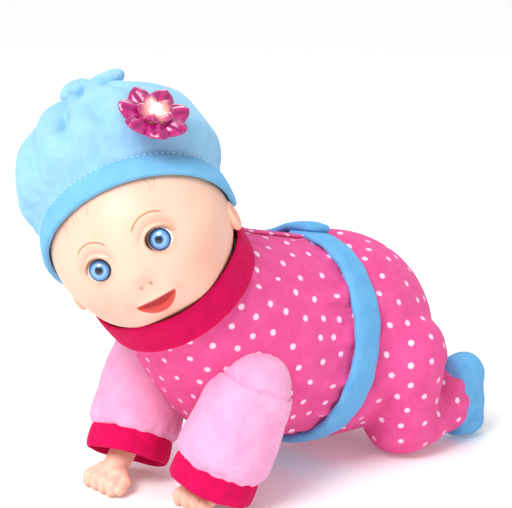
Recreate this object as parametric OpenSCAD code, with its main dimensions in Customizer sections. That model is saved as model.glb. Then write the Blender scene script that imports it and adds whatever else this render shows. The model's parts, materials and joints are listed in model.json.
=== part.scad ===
// Crawling baby doll: a plastic drive case with swinging arms and legs inside padded clothes,
// and a hollow head that turns on a slanted neck post.
// The doll faces -Y, its left side is +X, and it stands on its hands, knees and toes at Z = 0.

/* [Trunk] */
// Height of the waist centre above the floor
waist_z = 85; // [84:0.5:87]
// Downward slope of the trunk from the neck to the seat, degrees
trunk_tilt = 11; // [10:0.5:12]
// Radius of the padded waist
waist_r = 67; // [66:0.5:68]
// Thickness of the jacket and trouser fabric
cloth_t = 2.2; // [1.8:0.1:2.6]

/* [Drive case] */
// Width of the plastic case
case_w = 62; // [61:0.5:63]
// Height of the plastic case
case_h = 70; // [69:0.5:71]
// Wall of the plastic case
case_wall = 2.4; // [2.2:0.1:2.6]

/* [Head] */
// Outer radius of the head
head_r = 56; // [55:0.5:56.5]
// Wall of the vinyl head
head_wall = 3; // [2.5:0.5:4]
// Turn of the head to its left at rest, degrees
head_turn = 51; // [45:1:55]
// Rise of the neck axis above level, degrees
neck_rise = 52; // [51:0.5:53]
// Radius of the neck post
neck_post_r = 12; // [11:0.5:13]

/* [Limbs] */
// Distance from the middle plane to the centre of the sleeve at the shoulder
shoulder_x = 50; // [49:0.5:51]
// Height of the shoulder shafts
shoulder_z = 78; // [77.5:0.5:78.5]
// Height of the hip shafts
hip_z = 74; // [73.5:0.5:74.5]
// Radius of the shoulder and hip shafts
shaft_r = 4; // [3.5:0.25:4.5]
// Radial running clearance of each shaft
shaft_gap = 0.06; // [0.04:0.01:0.08]

/* [Gears] */
// Gear module
gear_m = 0.8; // [0.8:0.1:0.8]
// Teeth on the motor pinion
pinion_teeth = 10; // [10:1:10]
// Teeth on the large wheel of the idler
idler_teeth = 36; // [36:2:36]
// Teeth on the small wheel of the idler
idler_small_teeth = 12; // [12:1:12]
// Teeth on the crank gear
crank_teeth = 36; // [36:2:36]

/* [Hidden] */

$fn = 64;
eps = 0.01;
soft_fn = 32;

// Offset that brings the middle of the doll's outline over the origin
doll_shift = [4.1, -16.3, 0];

// Colours
pink = "#E8599F";
light_pink = "#F0AAD0";
crimson = "#E0005C";
sky_blue = "#7DB8E0";
skin = "#F6C3A8";
plastic = "#EDE6DC";
gear_white = "#F4F1E8";
steel = "#B9BDC2";

// Trunk: x across, y along the trunk from neck to seat, z up from the trunk's axis
waist_y = 44;
case_front = -87;
case_rear = 62;
case_split = 8;
case_corner_r = 16;
band_half_w = 11;
band_t = 7;

// Neck and head
head_centre = [0, -83, 174];
head_pitch = 2;
neck_axis = [0, -cos(neck_rise), sin(neck_rise)];
collar_seam = 43.5;
collar_top = 27;
collar_r = 47.5;
head_clear = 1.2;

// Limbs
arm_y = -36;
left_cuff_c = [38, -59, 21];
right_cuff_c = [-38, -67, 23];
left_hand_y = -64;
right_hand_y = -88;
hip_y = 92;
left_knee_y = 102;
right_knee_y = 110;
knee_x = 48;
knee_h = 24;
limb_gap = 1.2;
limb_inner_x = case_w / 2 + 2.6;

// Drive
crank_pin_orbit = 4;
crank_pin_r = 1.5;
crank_axis = [-52, -8];
idler_axis = [crank_axis[0] + gear_m * (crank_teeth + idler_small_teeth) / 2 + 0.05, crank_axis[1]];
motor_reach = gear_m * (idler_teeth + pinion_teeth) / 2 + 0.05;
motor_axis = idler_axis + motor_reach * [cos(45), sin(45)];
axle_r = 1.5;
axle_gap = 0.05;
rod_x = 25;
shoulder_pin_h = 12;
hip_pin_h = 18;
rod_pin_r = 1.5;
rod_open_gap = 0.6;

// Middle plane points of the shoulder and hip axes in trunk coordinates, [along, up]
function to_trunk(y, z) = [(y - waist_y) * cos(trunk_tilt) - (z - waist_z) * sin(trunk_tilt),
                           (y - waist_y) * sin(trunk_tilt) + (z - waist_z) * cos(trunk_tilt)];
shoulder_t = to_trunk(arm_y, shoulder_z);
hip_t = to_trunk(hip_y, hip_z);

// ---------- placing ----------

module in_doll() translate(doll_shift) children();

module in_trunk() translate(doll_shift + [0, waist_y, waist_z]) rotate([-trunk_tilt, 0, 0]) children();

// Z runs along the neck axis, with zero at the head's centre
module in_neck() translate(doll_shift + head_centre) rotate([90 - neck_rise, 0, 0]) children();

// The turned head: x to its left, -y to its face, z to its crown
module in_head()
    translate(doll_shift + head_centre)
        rotate(a = head_turn, v = neck_axis) rotate([head_pitch, 0, 0]) children();

// Puts +Z along the line from a to b, starting at a
module along(a, b) {
    d = b - a;
    translate(a) rotate([0, acos(d[2] / norm(d)), atan2(d[1], d[0])]) children();
}

// A cylinder lying along X between two places
module x_rod(r, x0, x1, y = 0, z = 0) translate([x0, y, z]) rotate([0, 90, 0]) cylinder(r = r, h = x1 - x0);

// A cylinder lying along X from the inside to the outside of the limb on one side
module side_rod(side, r, inner, outer, y, z)
    x_rod(r, side > 0 ? inner : -outer, side > 0 ? outer : -inner, y, z);

// A disc whose axis lies along the trunk, used to build its outline
module trunk_disc(r, y, z = 0)
    translate([0, y, z]) rotate([-90, 0, 0]) cylinder(r = r, h = 0.6, $fn = soft_fn);

module rounded_outline(w, h, r) {
    square([w - 2 * r, h], center = true);
    square([w, h - 2 * r], center = true);
    for (x = [-1, 1], y = [-1, 1]) translate([x * (w / 2 - r), y * (h / 2 - r)]) circle(r = r);
}

// ---------- trunk ----------

// Solid outline of the case, grown by extra on every side
module case_form(extra = 0)
    translate([0, case_front - extra, 0]) rotate([-90, 0, 0])
        linear_extrude(case_rear - case_front + 2 * extra)
            rounded_outline(case_w + 2 * extra, case_h + 2 * extra, case_corner_r + extra);

module case_shell() difference() {
    case_form();
    case_form(-case_wall);
}

screw_spots = [[-19.5, -58], [19.5, -58], [-8, 56], [8, 56]];
screw_r = 1.4;
boss_r = 3.4;
switch_spot = [0, -42];
door_size = [56, 52];
door_y = 22;
door_low = 20;
speaker_y = 8;
speaker_r = 14.5;

module case_bosses(z0, z1)
    for (p = screw_spots) translate([p[0], p[1], z0]) cylinder(r = boss_r, h = z1 - z0);

// What the battery door takes out of the case, shrunk by gap on every side
module door_block(gap) translate([-door_size[0] / 2 + gap, door_y - door_size[1] / 2 + gap, door_low])
    cube([door_size[0] - 2 * gap, door_size[1] - 2 * gap, 30]);

module case_upper() color(plastic) in_trunk() difference() {
    union() {
        intersection() {
            case_shell();
            translate([-60, -120, case_split]) cube([120, 240, 60]);
        }
        case_bosses(case_split, case_h / 2 - 1.4);
    }
    for (p = screw_spots) translate([p[0], p[1], case_split - eps]) cylinder(r = screw_r, h = 14);
    door_block(0);
    translate([switch_spot[0] - 3, switch_spot[1] - 5, case_h / 2 - 6]) cube([6, 10, 12]);
}

module case_lower() color(plastic) in_trunk() difference() {
    union() {
        intersection() {
            case_shell();
            translate([-60, -120, case_split - 100]) cube([120, 240, 100]);
        }
        case_bosses(-case_h / 2 + 1.4, case_split);
        for (s = [-1, 1], p = [shoulder_t, hip_t])
            x_rod(shaft_r + 2.6, s > 0 ? case_w / 2 - 8 : -case_w / 2 + 0.8,
                  s > 0 ? case_w / 2 - 0.8 : -case_w / 2 + 8, p[0], p[1]);
    }
    for (p = screw_spots) translate([p[0], p[1], -case_h / 2 - eps]) {
        cylinder(r = screw_r + 0.1, h = case_h);
        cylinder(r = 2.8, h = 3.4);
    }
    for (p = [shoulder_t, hip_t]) for (s = [-1, 1])
        x_rod(shaft_r + shaft_gap, s > 0 ? 20 : -40, s > 0 ? 40 : -20, p[0], p[1]);
    for (x = [-10:5:10], y = [-10:5:10]) if (norm([x, y]) < 13)
        translate([x, speaker_y + y, -case_h / 2 - eps]) cylinder(r = 1.2, h = case_wall + 2 * eps);
}

module case_screws() color(steel) in_trunk()
    for (p = screw_spots) translate([p[0], p[1], -case_h / 2 + 1]) {
        cylinder(r = 2.5, h = 2.4);
        cylinder(r = screw_r, h = case_h / 2 + case_split + 8);
    }

door_screw_y = door_y - door_size[1] / 2 + 5;
door_screw_head = 1.4;

module battery_door() color(plastic) in_trunk() difference() {
    intersection() {
        case_shell();
        door_block(0.3);
    }
    translate([0, door_screw_y, 0]) cylinder(r = screw_r, h = 60);
    translate([0, door_screw_y, case_h / 2 - door_screw_head]) cylinder(r = 2.7, h = 10);
}

module door_screw() color(steel) in_trunk() translate([0, door_screw_y, case_h / 2 - 8]) {
    cylinder(r = screw_r, h = 8 - door_screw_head);
    translate([0, 0, 8 - door_screw_head]) cylinder(r = 2.6, h = door_screw_head);
}

cell_r = 7.1;
cell_len = 50;
cell_drop = 4;
cell_z = case_h / 2 - case_wall - cell_r - cell_drop;
cell_spots = [door_y - 14.8, door_y, door_y + 14.8];

module battery_cells() color("#3F7F4F") in_trunk()
    for (y = cell_spots) {
        x_rod(cell_r, -cell_len / 2 + 1, cell_len / 2 - 1, y, cell_z);
        x_rod(2.6, cell_len / 2 - 1 - eps, cell_len / 2, y, cell_z);
    }

module battery_contacts() color(steel) in_trunk()
    for (y = cell_spots, s = [-1, 1])
        translate([s > 0 ? cell_len / 2 + 0.1 : -cell_len / 2 + 0.3, y - 5, cell_z - 5]) cube([0.6, 10, 10]);

module circuit_board() color("#2F7A46") in_trunk() translate([-15, -70, 22]) {
    cube([30, 24, 1.6]);
    translate([4, 6, -2]) cube([10, 10, 2 + eps]);
    translate([18, 9, -3]) cube([7, 5, 3 + eps]);
}

module sound_sensor() color("#30343A") in_trunk() translate([-6, -60, 23.6]) cylinder(r = 4.8, h = 5);

module speaker() color("#2B2D31") in_trunk() translate([0, speaker_y, -case_h / 2 + case_wall]) {
    difference() {
        cylinder(r = speaker_r, h = 4);
        translate([0, 0, -eps]) cylinder(r1 = speaker_r - 2, r2 = 8, h = 3);
    }
    translate([0, 0, 4 - eps]) cylinder(r = 10, h = 4);
}

motor_r = 6;

module drive_motor() color(steel) in_trunk() {
    x_rod(motor_r, -22, -8, motor_axis[0], motor_axis[1]);
    x_rod(3, -8 - eps, -6, motor_axis[0], motor_axis[1]);
    x_rod(1, -6 - eps, 7, motor_axis[0], motor_axis[1]);
}

plate_x = 8;

// Two side plates stand on the case floor, hold the idler's axle and carry the crank shaft
module gear_plates() color(steel) in_trunk() difference() {
    union() {
        x_rod(axle_r, -plate_x - 1, plate_x + 1, idler_axis[0], idler_axis[1]);
        for (x = [-plate_x - 1, plate_x])
            translate([x, crank_axis[0] - 5, -case_h / 2 + case_wall])
                cube([1, idler_axis[0] - crank_axis[0] + 10, crank_axis[1] + case_h / 2 - case_wall + 5]);
    }
    x_rod(axle_r + axle_gap, -plate_x - 2, plate_x + 2, crank_axis[0], crank_axis[1]);
}

// ---------- neck ----------

module neck_post() color(plastic) difference() {
    union() {
        in_neck() translate([0, 0, -66]) cylinder(r = neck_post_r, h = 66 - 28.6);
        in_trunk() translate([-20, case_front - 4, -6]) cube([40, 4, 34]);
    }
    in_trunk() translate([-40, case_front, -60]) cube([80, 200, 140]);
    in_neck() translate([0, 0, -45]) cylinder(r = screw_r, h = 40);
}

module neck_retainer() color(steel) in_neck() {
    translate([0, 0, -28.6]) cylinder(r = 16, h = 2.4);
    translate([0, 0, -44]) cylinder(r = screw_r, h = 16);
    translate([0, 0, -26.2 - eps]) cylinder(r = 3.2, h = 1.6);
}

// ---------- padding and clothes on the trunk ----------

// Outline of the dressed chest, from the waist to the collar, shrunk by inset
module chest_form(inset, rear, lift = 0)
    hull() {
        in_trunk() {
            trunk_disc(waist_r - inset, rear);
            trunk_disc(waist_r - 2 - inset, -45, -3);
            trunk_disc(waist_r - 13 - inset, -84, -2);
        }
        in_neck() translate([0, 0, -collar_seam - 1])
            cylinder(r = collar_r - inset, h = 0.6 + lift, $fn = soft_fn);
    }

// The room that each sleeve sweeps through the chest
module sleeve_room(side) {
    c = side > 0 ? left_cuff_c : right_cuff_c;
    hull() for (a = [-16, 0, 16])
        translate([0, arm_y, shoulder_z]) rotate([a, 0, 0]) translate([0, -arm_y, -shoulder_z])
            sleeve_form(side, c, limb_gap);
}

module sleeve_form(side, c, extra = 0) {
    top = [side * shoulder_x, arm_y, shoulder_z];
    hull() {
        translate(top) sphere(r = 22 + extra, $fn = soft_fn);
        along(top, c) translate([0, 0, norm(c - top) - 7])
            cylinder(r = 26 + extra, h = 1 + extra, $fn = soft_fn);
    }
}

module shirt_cuts() in_doll() for (s = [-1, 1]) {
    sleeve_room(s);
    x_rod(24, s > 0 ? case_w / 2 : -90, s > 0 ? 90 : -case_w / 2, arm_y, shoulder_z);
}

module head_room() in_neck() sphere(r = head_r + head_clear);

module body_padding() color("#F4F0E6") difference() {
    chest_form(cloth_t + 0.4, band_half_w - 1);
    in_trunk() case_form(0.4);
    in_neck() {
        sphere(r = head_r + head_clear);
        translate([0, 0, -80]) cylinder(r = neck_post_r + 9, h = 80);
    }
    in_trunk() translate([-24, case_front - 12, -10]) cube([48, 20, 44]);
    in_trunk() translate([-7, switch_spot[1] - 8, 20]) cube([14, 16, 80]);
    shirt_cuts();
}

module jacket() color(pink) difference() {
    chest_form(0, -band_half_w - 1);
    chest_form(cloth_t, band_half_w - 1, 1.5);
    head_room();
    in_neck() translate([0, 0, -80]) cylinder(r = neck_post_r + 9, h = 90);
    in_trunk() translate([-9, -70, 20]) cube([18, 70, 80]);
    shirt_cuts();
}

module jacket_collar() color(crimson) in_neck() difference() {
    rotate_extrude() polygon([[collar_r - 3.5, -collar_seam], [collar_r + 1.5, -collar_seam],
                              [collar_r + 4, -collar_top], [collar_r + 2.2, -collar_top]]);
    sphere(r = head_r + head_clear);
}

module jacket_placket() color(pink) intersection() {
    difference() {
        chest_form(-1.4, -band_half_w - 1);
        chest_form(1.4, -band_half_w + 2, 1.5);
        head_room();
    }
    in_trunk() translate([-8.6, -69, 20]) cube([17.2, 57.4, 80]);
}

module waist_band() color(sky_blue) in_trunk() rotate([-90, 0, 0])
    rotate_extrude() translate([waist_r + 1.9, 0]) rounded_outline(band_t, 2 * band_half_w - 0.8, 3.4);

// The room that a leg's thigh and shin sweep beside and below the case
module leg_room(side)
    rotate([90, 0, 90]) translate([0, 0, side > 0 ? limb_inner_x - 1 : -limb_inner_x + 1 - 90])
    linear_extrude(90) hull() {
        translate([hip_y, hip_z]) circle(r = 33);
        translate([hip_y - 60, -20]) circle(r = 4);
        translate([hip_y + 112, -20]) circle(r = 4);
    }

module trousers_seat() color(pink) difference() {
    hull() {
        in_trunk() trunk_disc(waist_r, band_half_w + 0.4);
        in_doll() translate([0, 78, 80]) sphere(r = 68, $fn = 48);
    }
    in_trunk() {
        case_form(limb_inner_x - case_w / 2 - 0.8);
        translate([-100, -100 + band_half_w + 0.4, -100]) cube([200, 100, 200]);
    }
    in_doll() {
        leg_room(1);
        leg_room(-1);
    }
}

// ---------- head ----------

eye_x = 20;
eye_z = -9;
eye_r = 9.5;

module eye_centre(side) translate([side * eye_x, -42.6, eye_z]) children();

module head_shell() color(skin) in_head() difference() {
    union() {
        sphere(r = head_r);
        translate([0, -53, -27]) sphere(r = 5.5);
        for (s = [-1, 1]) translate([s * 53.5, 4, -15.5]) sphere(r = 6);
    }
    sphere(r = head_r - head_wall);
    rotate([90 - neck_rise - head_pitch, 0, 0]) translate([0, 0, -90]) cylinder(r = 20, h = 90);
    for (s = [-1, 1]) eye_centre(s) sphere(r = eye_r);
}

module neck_socket() color(plastic) in_neck() difference() {
    translate([0, 0, -56]) cylinder(r = 20, h = 27);
    translate([0, 0, -60]) cylinder(r = neck_post_r + shaft_gap, h = 40);
}

module eye(side) color("#5A93D0") in_head() difference() {
    eye_centre(side) sphere(r = eye_r);
    sphere(r = head_r - head_wall - 4);
}

module left_eye() eye(1);
module right_eye() eye(-1);

hat_slope = 33;
hat_low = -4;
band_up = 17;

// Keeps what lies above the sloping plane at the given height over the hat's edge
module above_hat_line(up)
    rotate([-hat_slope, 0, 0]) translate([-100, -100, hat_low + up]) cube([200, 200, 160]);

// Keeps the hat's edge clear of the collar through the whole turn
module above_collar()
    rotate([90 - neck_rise - head_pitch, 0, 0]) translate([-100, -100, -19]) cube([200, 200, 200]);

module hat_crown() color(sky_blue) in_head() intersection() {
    difference() {
        rotate([-12, 0, 0]) rotate_extrude($fn = 40)
            polygon([[0, 0], [60, 0], [64, 22], [64, 44], [58, 62], [44, 76], [22, 82], [0, 83]]);
        sphere(r = head_r + 0.6);
        head_flower() translate([0, 0, -1.6]) cylinder(r = 22.5, h = 30);
    }
    above_hat_line(band_up + 0.3);
    above_collar();
}

module hat_band() color(sky_blue) in_head() intersection() {
    difference() {
        sphere(r = head_r + 5.4);
        sphere(r = head_r + 0.4);
    }
    difference() {
        above_hat_line(0);
        above_hat_line(band_up);
    }
    above_collar();
}

module hat_tuft() color(sky_blue) in_head() rotate([-12, 0, 0]) translate([6, 0, 83]) {
    cylinder(r = 10, h = 5);
    translate([0, 0, 7.8]) sphere(r = 7.5);
}

flower_at = [46, -32.4, 55.4];
petals = 7;

module head_flower() along([0, 0, 0], flower_at) translate([0, 0, norm(flower_at)]) children();
module in_flower() in_head() head_flower() children();

module flower_base() color("#8E1258") difference() {
    in_flower() translate([0, 0, -1.5]) cylinder(r = 13, h = 2.5);
    in_head() sphere(r = head_r + 0.4);
}

module flower_lens() color("#B8176F") in_flower() translate([0, 0, 1.1]) {
    linear_extrude(3.6) difference() {
        union() {
            circle(r = 12);
            for (k = [0:petals - 1]) rotate(k * 360 / petals) translate([14, 0]) circle(r = 7.6);
        }
        circle(r = 3.2);
    }
    translate([0, 0, 3.6]) cylinder(r = 9, h = 1.6);
}

module flower_led() color("#FFF2C8") in_flower() translate([0, 0, 1.1]) cylinder(r = 2.5, h = 3);

// ---------- arms ----------

arm_r = 11;
wrist_r = 9;

function shoulder_at(side) = [side * shoulder_x, arm_y, shoulder_z];

module arm_core(side, c) color(plastic) in_doll() {
    s = shoulder_at(side);
    difference() {
        union() {
            side_rod(side, 15, limb_inner_x, limb_inner_x + 20, s[1], s[2]);
            along(s, c) cylinder(r1 = arm_r + 2, r2 = wrist_r, h = norm(c - s) - 4);
        }
        translate([side > 0 ? -60 + limb_inner_x : -limb_inner_x, arm_y - 60, shoulder_z - 22])
            cube([60, 120, 60]);
    }
    x_rod(shaft_r, side > 0 ? 11 : -limb_inner_x - eps, side > 0 ? limb_inner_x + eps : -11, s[1], s[2]);
    drive_lever(side);
}

// Lever inside the case: its window takes the crank pin and its upper pin carries the link rod
module drive_lever(side) {
    window = [18, 23];
    x0 = side > 0 ? 11 : -14;
    translate([0, waist_y, waist_z]) rotate([-trunk_tilt, 0, 0]) {
        difference() {
            hull() {
                x_rod(7, x0, x0 + 3, shoulder_t[0], shoulder_t[1]);
                translate([x0, crank_axis[0] - 12, crank_axis[1] - 14.5]) cube([3, 24, 29]);
            }
            translate([x0 - 1, crank_axis[0] - window[0] / 2, crank_axis[1] - window[1] / 2])
                cube([5, window[0], window[1]]);
        }
        hull() {
            x_rod(4, x0, x0 + 3, shoulder_t[0], shoulder_t[1]);
            x_rod(4, x0, x0 + 3, shoulder_t[0], shoulder_t[1] + shoulder_pin_h);
        }
        x_rod(rod_pin_r, side > 0 ? 13 : -rod_x - 2.4, side > 0 ? rod_x + 2.4 : -13,
              shoulder_t[0], shoulder_t[1] + shoulder_pin_h);
    }
}

module link_rod(side) color(gear_white) in_trunk() {
    a = [shoulder_t[0], shoulder_t[1] + shoulder_pin_h];
    b = [hip_t[0], hip_t[1] - hip_pin_h];
    x0 = side > 0 ? rod_x - 1 : -rod_x - 1;
    difference() {
        union() {
            x_rod(3.6, x0, x0 + 2, a[0], a[1]);
            x_rod(4.6, x0, x0 + 2, b[0], b[1]);
            translate([x0, 0, 0]) rotate([90, 0, 90]) linear_extrude(2)
                polygon([a + [0, 2], a - [0, 2], b - [0, 2], b + [0, 2]]);
        }
        x_rod(rod_pin_r + 0.06, x0 - 1, x0 + 3, a[0], a[1]);
        x_rod(rod_pin_r + rod_open_gap, x0 - 1, x0 + 3, b[0], b[1]);
    }
}

// A small vinyl hand resting on its curled fingers
module hand(side, c, y) color(skin) in_doll() difference() {
    union() {
        hull() {
            along(shoulder_at(side), c) translate([0, 0, norm(c - shoulder_at(side)) - 3.6])
                cylinder(r = wrist_r, h = 1);
            translate([side * 33, y + 2, 9]) sphere(r = 8, $fn = 24);
        }
        for (k = [-1.5:1:1.5]) hull() {
            translate([side * 32 + k * 7, y + 4, 9]) sphere(r = 5, $fn = 14);
            translate([side * 31 + k * 8, y - 9, 6]) sphere(r = 4.5, $fn = 14);
            translate([side * 31 + k * 8, y - 7, 3]) sphere(r = 4, $fn = 14);
        }
        hull() {
            translate([side * 18, y + 10, 10]) sphere(r = 5.5, $fn = 14);
            translate([side * 13, y + 2, 5]) sphere(r = 4.5, $fn = 14);
        }
    }
    translate([-100, y - 50, -50]) cube([200, 120, 50]);
}

module sleeve(side, c) color(light_pink) difference() {
    in_doll() {
        s = shoulder_at(side);
        difference() {
            sleeve_form(side, c);
            along(s, c) cylinder(r1 = arm_r + 2.4, r2 = wrist_r + 0.4, h = norm(c - s));
            x_rod(15.4, side > 0 ? 0 : -limb_inner_x - 20.4, side > 0 ? limb_inner_x + 20.4 : 0, s[1], s[2]);
            translate([side > 0 ? -60 + limb_inner_x : -limb_inner_x, arm_y - 80, 50]) cube([60, 160, 80]);
        }
    }
}

module cuff(side, c) color(crimson) in_doll() {
    s = shoulder_at(side);
    along(s, c) translate([0, 0, norm(c - s) - 5.6]) difference() {
        cylinder(r = 27, h = 13);
        translate([0, 0, 2.4]) cylinder(r = 24.6, h = 13);
        translate([0, 0, -eps]) cylinder(r = wrist_r + 1.4, h = 13);
    }
}

module left_arm_core() arm_core(1, left_cuff_c);
module right_arm_core() arm_core(-1, right_cuff_c);
module left_hand() hand(1, left_cuff_c, left_hand_y);
module right_hand() hand(-1, right_cuff_c, right_hand_y);
module left_sleeve() sleeve(1, left_cuff_c);
module right_sleeve() sleeve(-1, right_cuff_c);
module left_cuff() cuff(1, left_cuff_c);
module right_cuff() cuff(-1, right_cuff_c);
module left_link_rod() link_rod(1);
module right_link_rod() link_rod(-1);

// ---------- legs ----------

leg_r = 9;

module leg_core(side, ky) color(plastic) in_doll() {
    side_rod(side, 14, limb_inner_x, limb_inner_x + 18, hip_y, hip_z);
    difference() {
        union() {
            along([side * knee_x, hip_y, hip_z], [side * knee_x, ky, knee_h])
                cylinder(r = leg_r, h = norm([0, ky - hip_y, knee_h - hip_z]));
            translate([side * knee_x, ky, knee_h]) sphere(r = leg_r + 1);
            along([side * knee_x, ky, knee_h], [side * 54, ky + 50, 32]) cylinder(r = leg_r - 0.6, h = 50);
        }
        translate([side > 0 ? -60 + limb_inner_x : -limb_inner_x, hip_y - 60, 0]) cube([60, 160, 140]);
    }
    x_rod(shaft_r, side > 0 ? 15 : -limb_inner_x - eps, side > 0 ? limb_inner_x + eps : -15, hip_y, hip_z);
    translate([0, waist_y, waist_z]) rotate([-trunk_tilt, 0, 0]) {
        hull() {
            x_rod(5.5, side > 0 ? 15 : -18, side > 0 ? 18 : -15, hip_t[0], hip_t[1]);
            x_rod(4, side > 0 ? 15 : -18, side > 0 ? 18 : -15, hip_t[0], hip_t[1] - hip_pin_h);
        }
        side_rod(side, rod_pin_r, 17, rod_x + 2.4, hip_t[0], hip_t[1] - hip_pin_h);
    }
}

module leg_form(side, ky, extra) {
    hull() {
        side_rod(side, 28 + extra, limb_inner_x, limb_inner_x + 26, hip_y, hip_z, $fn = soft_fn);
        translate([side * knee_x, ky - 4, knee_h + 2]) sphere(r = 24 + extra, $fn = soft_fn);
    }
    hull() {
        translate([side * knee_x, ky - 4, knee_h + 2]) sphere(r = 24 + extra, $fn = soft_fn);
        translate([side * 53, ky + 34, 30]) sphere(r = 22 + extra, $fn = soft_fn);
    }
}

module trouser_leg(side, ky) color(pink) in_doll() difference() {
    leg_form(side, ky, 0);
    for (pair = [[[side * knee_x, hip_y, hip_z], [side * knee_x, ky, knee_h]],
                 [[side * knee_x, ky, knee_h], [side * 54.6, ky + 55, 32.8]]])
        hull() for (p = pair) translate(p) sphere(r = leg_r + 1.8, $fn = soft_fn);
    x_rod(14.5, side > 0 ? 0 : -limb_inner_x - 18.5, side > 0 ? limb_inner_x + 18.5 : 0, hip_y, hip_z);
    translate([side > 0 ? -60 + limb_inner_x : -limb_inner_x, hip_y - 80, -10]) cube([60, 200, 160]);
    translate([-100, 0, -20]) cube([200, 250, 24]);
}

module knee_pad(side, ky) color(pink) in_doll() translate([side * knee_x, ky, 0]) cylinder(r = 12, h = 4);

module bootie(side, ky) color(sky_blue) in_doll() difference() {
    hull() {
        translate([side * 57, ky + 58, 9]) sphere(r = 13, $fn = soft_fn);
        translate([side * 55, ky + 57, 30]) sphere(r = 14.5, $fn = soft_fn);
        translate([side * 54, ky + 57, 48]) sphere(r = 14, $fn = soft_fn);
    }
    translate([-100, ky, -50]) cube([200, 100, 50]);
    along([side * knee_x, ky, knee_h], [side * 54, ky + 50, 32]) cylinder(r = leg_r + 0.3, h = 51);
    translate([side * 53, ky + 34, 30]) sphere(r = 22.5, $fn = 48);
}

module left_leg_core() leg_core(1, left_knee_y);
module right_leg_core() leg_core(-1, right_knee_y);
module left_trouser_leg() trouser_leg(1, left_knee_y);
module right_trouser_leg() trouser_leg(-1, right_knee_y);
module left_knee_pad() knee_pad(1, left_knee_y);
module right_knee_pad() knee_pad(-1, right_knee_y);
module left_bootie() bootie(1, left_knee_y);
module right_bootie() bootie(-1, right_knee_y);

// ---------- switch and gears ----------

module power_switch() color("#30343A") in_trunk()
    translate([switch_spot[0], switch_spot[1], case_h / 2 - 6]) {
    translate([-2.4, -2.5, 0]) cube([4.8, 3.5, 7.6]);
    translate([-4.5, -4, 0]) cube([9, 6.5, 2]);
}

// Straight gear with simple flat-sided teeth, thinned so that meshing teeth keep a small gap
module gear_outline(teeth) {
    root = gear_m * teeth / 2 - 1.25 * gear_m;
    tip = gear_m * teeth / 2 + 0.9 * gear_m;
    pitch = gear_m * teeth / 2;
    circle(r = root);
    for (k = [0:teeth - 1]) rotate(k * 360 / teeth)
        polygon([[root - 0.3, -gear_m * 0.8], [pitch, -gear_m * 0.56], [tip, -gear_m * 0.25],
                 [tip, gear_m * 0.25], [pitch, gear_m * 0.56], [root - 0.3, gear_m * 0.8]]);
}

module gear(teeth, x0, x1, turn = 0) translate([x0, 0, 0]) rotate([90, 0, 90]) linear_extrude(x1 - x0)
    rotate(turn) gear_outline(teeth);

module motor_pinion() color(gear_white) in_trunk() translate([0, motor_axis[0], motor_axis[1]]) difference() {
    gear(pinion_teeth, 2.5, 6.5, 225 % (360 / pinion_teeth));
    x_rod(1 + axle_gap, 2, 8);
}

module idler_gear() color(gear_white) in_trunk() translate([0, idler_axis[0], idler_axis[1]]) difference() {
    union() {
        gear(idler_teeth, 3, 6);
        gear(idler_small_teeth, -2, 3 + eps);
    }
    x_rod(axle_r + axle_gap, -3, 8);
}

module crank_gear() color(gear_white) in_trunk() translate([0, crank_axis[0], crank_axis[1]]) {
    gear(crank_teeth, -1.8, 1.8, 180 / crank_teeth);
    x_rod(axle_r, -plate_x - 1.6, plate_x + 1.6);
    for (s = [-1, 1]) {
        side_rod(s, crank_pin_orbit + 2.5, plate_x + 1.4, plate_x + 2.4, 0, 0);
        side_rod(s, crank_pin_r, plate_x + 2, 14.6, 0, s * crank_pin_orbit);
    }
}

case_upper();
case_lower();
case_screws();
battery_door();
door_screw();
battery_cells();
battery_contacts();
circuit_board();
sound_sensor();
speaker();
drive_motor();
gear_plates();
neck_post();
neck_retainer();
body_padding();
jacket();
jacket_collar();
jacket_placket();
waist_band();
trousers_seat();
head_shell();
neck_socket();
left_eye();
right_eye();
hat_crown();
hat_band();
hat_tuft();
flower_base();
flower_lens();
flower_led();
left_arm_core();
left_hand();
left_sleeve();
left_cuff();
right_arm_core();
right_hand();
right_sleeve();
right_cuff();
left_leg_core();
left_trouser_leg();
left_knee_pad();
left_bootie();
right_leg_core();
right_trouser_leg();
right_knee_pad();
right_bootie();
left_link_rod();
right_link_rod();
power_switch();
motor_pinion();
idler_gear();
crank_gear();
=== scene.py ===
"""Crawling baby doll: its vinyl head, its clothes, its hat and its lit flower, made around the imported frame."""

import json
import math

import bmesh
import bpy
import numpy as np
from bpy.props import FloatProperty, FloatVectorProperty, IntProperty, PointerProperty
from mathutils import Matrix, Vector, noise
from mathutils.bvhtree import BVHTree

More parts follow.
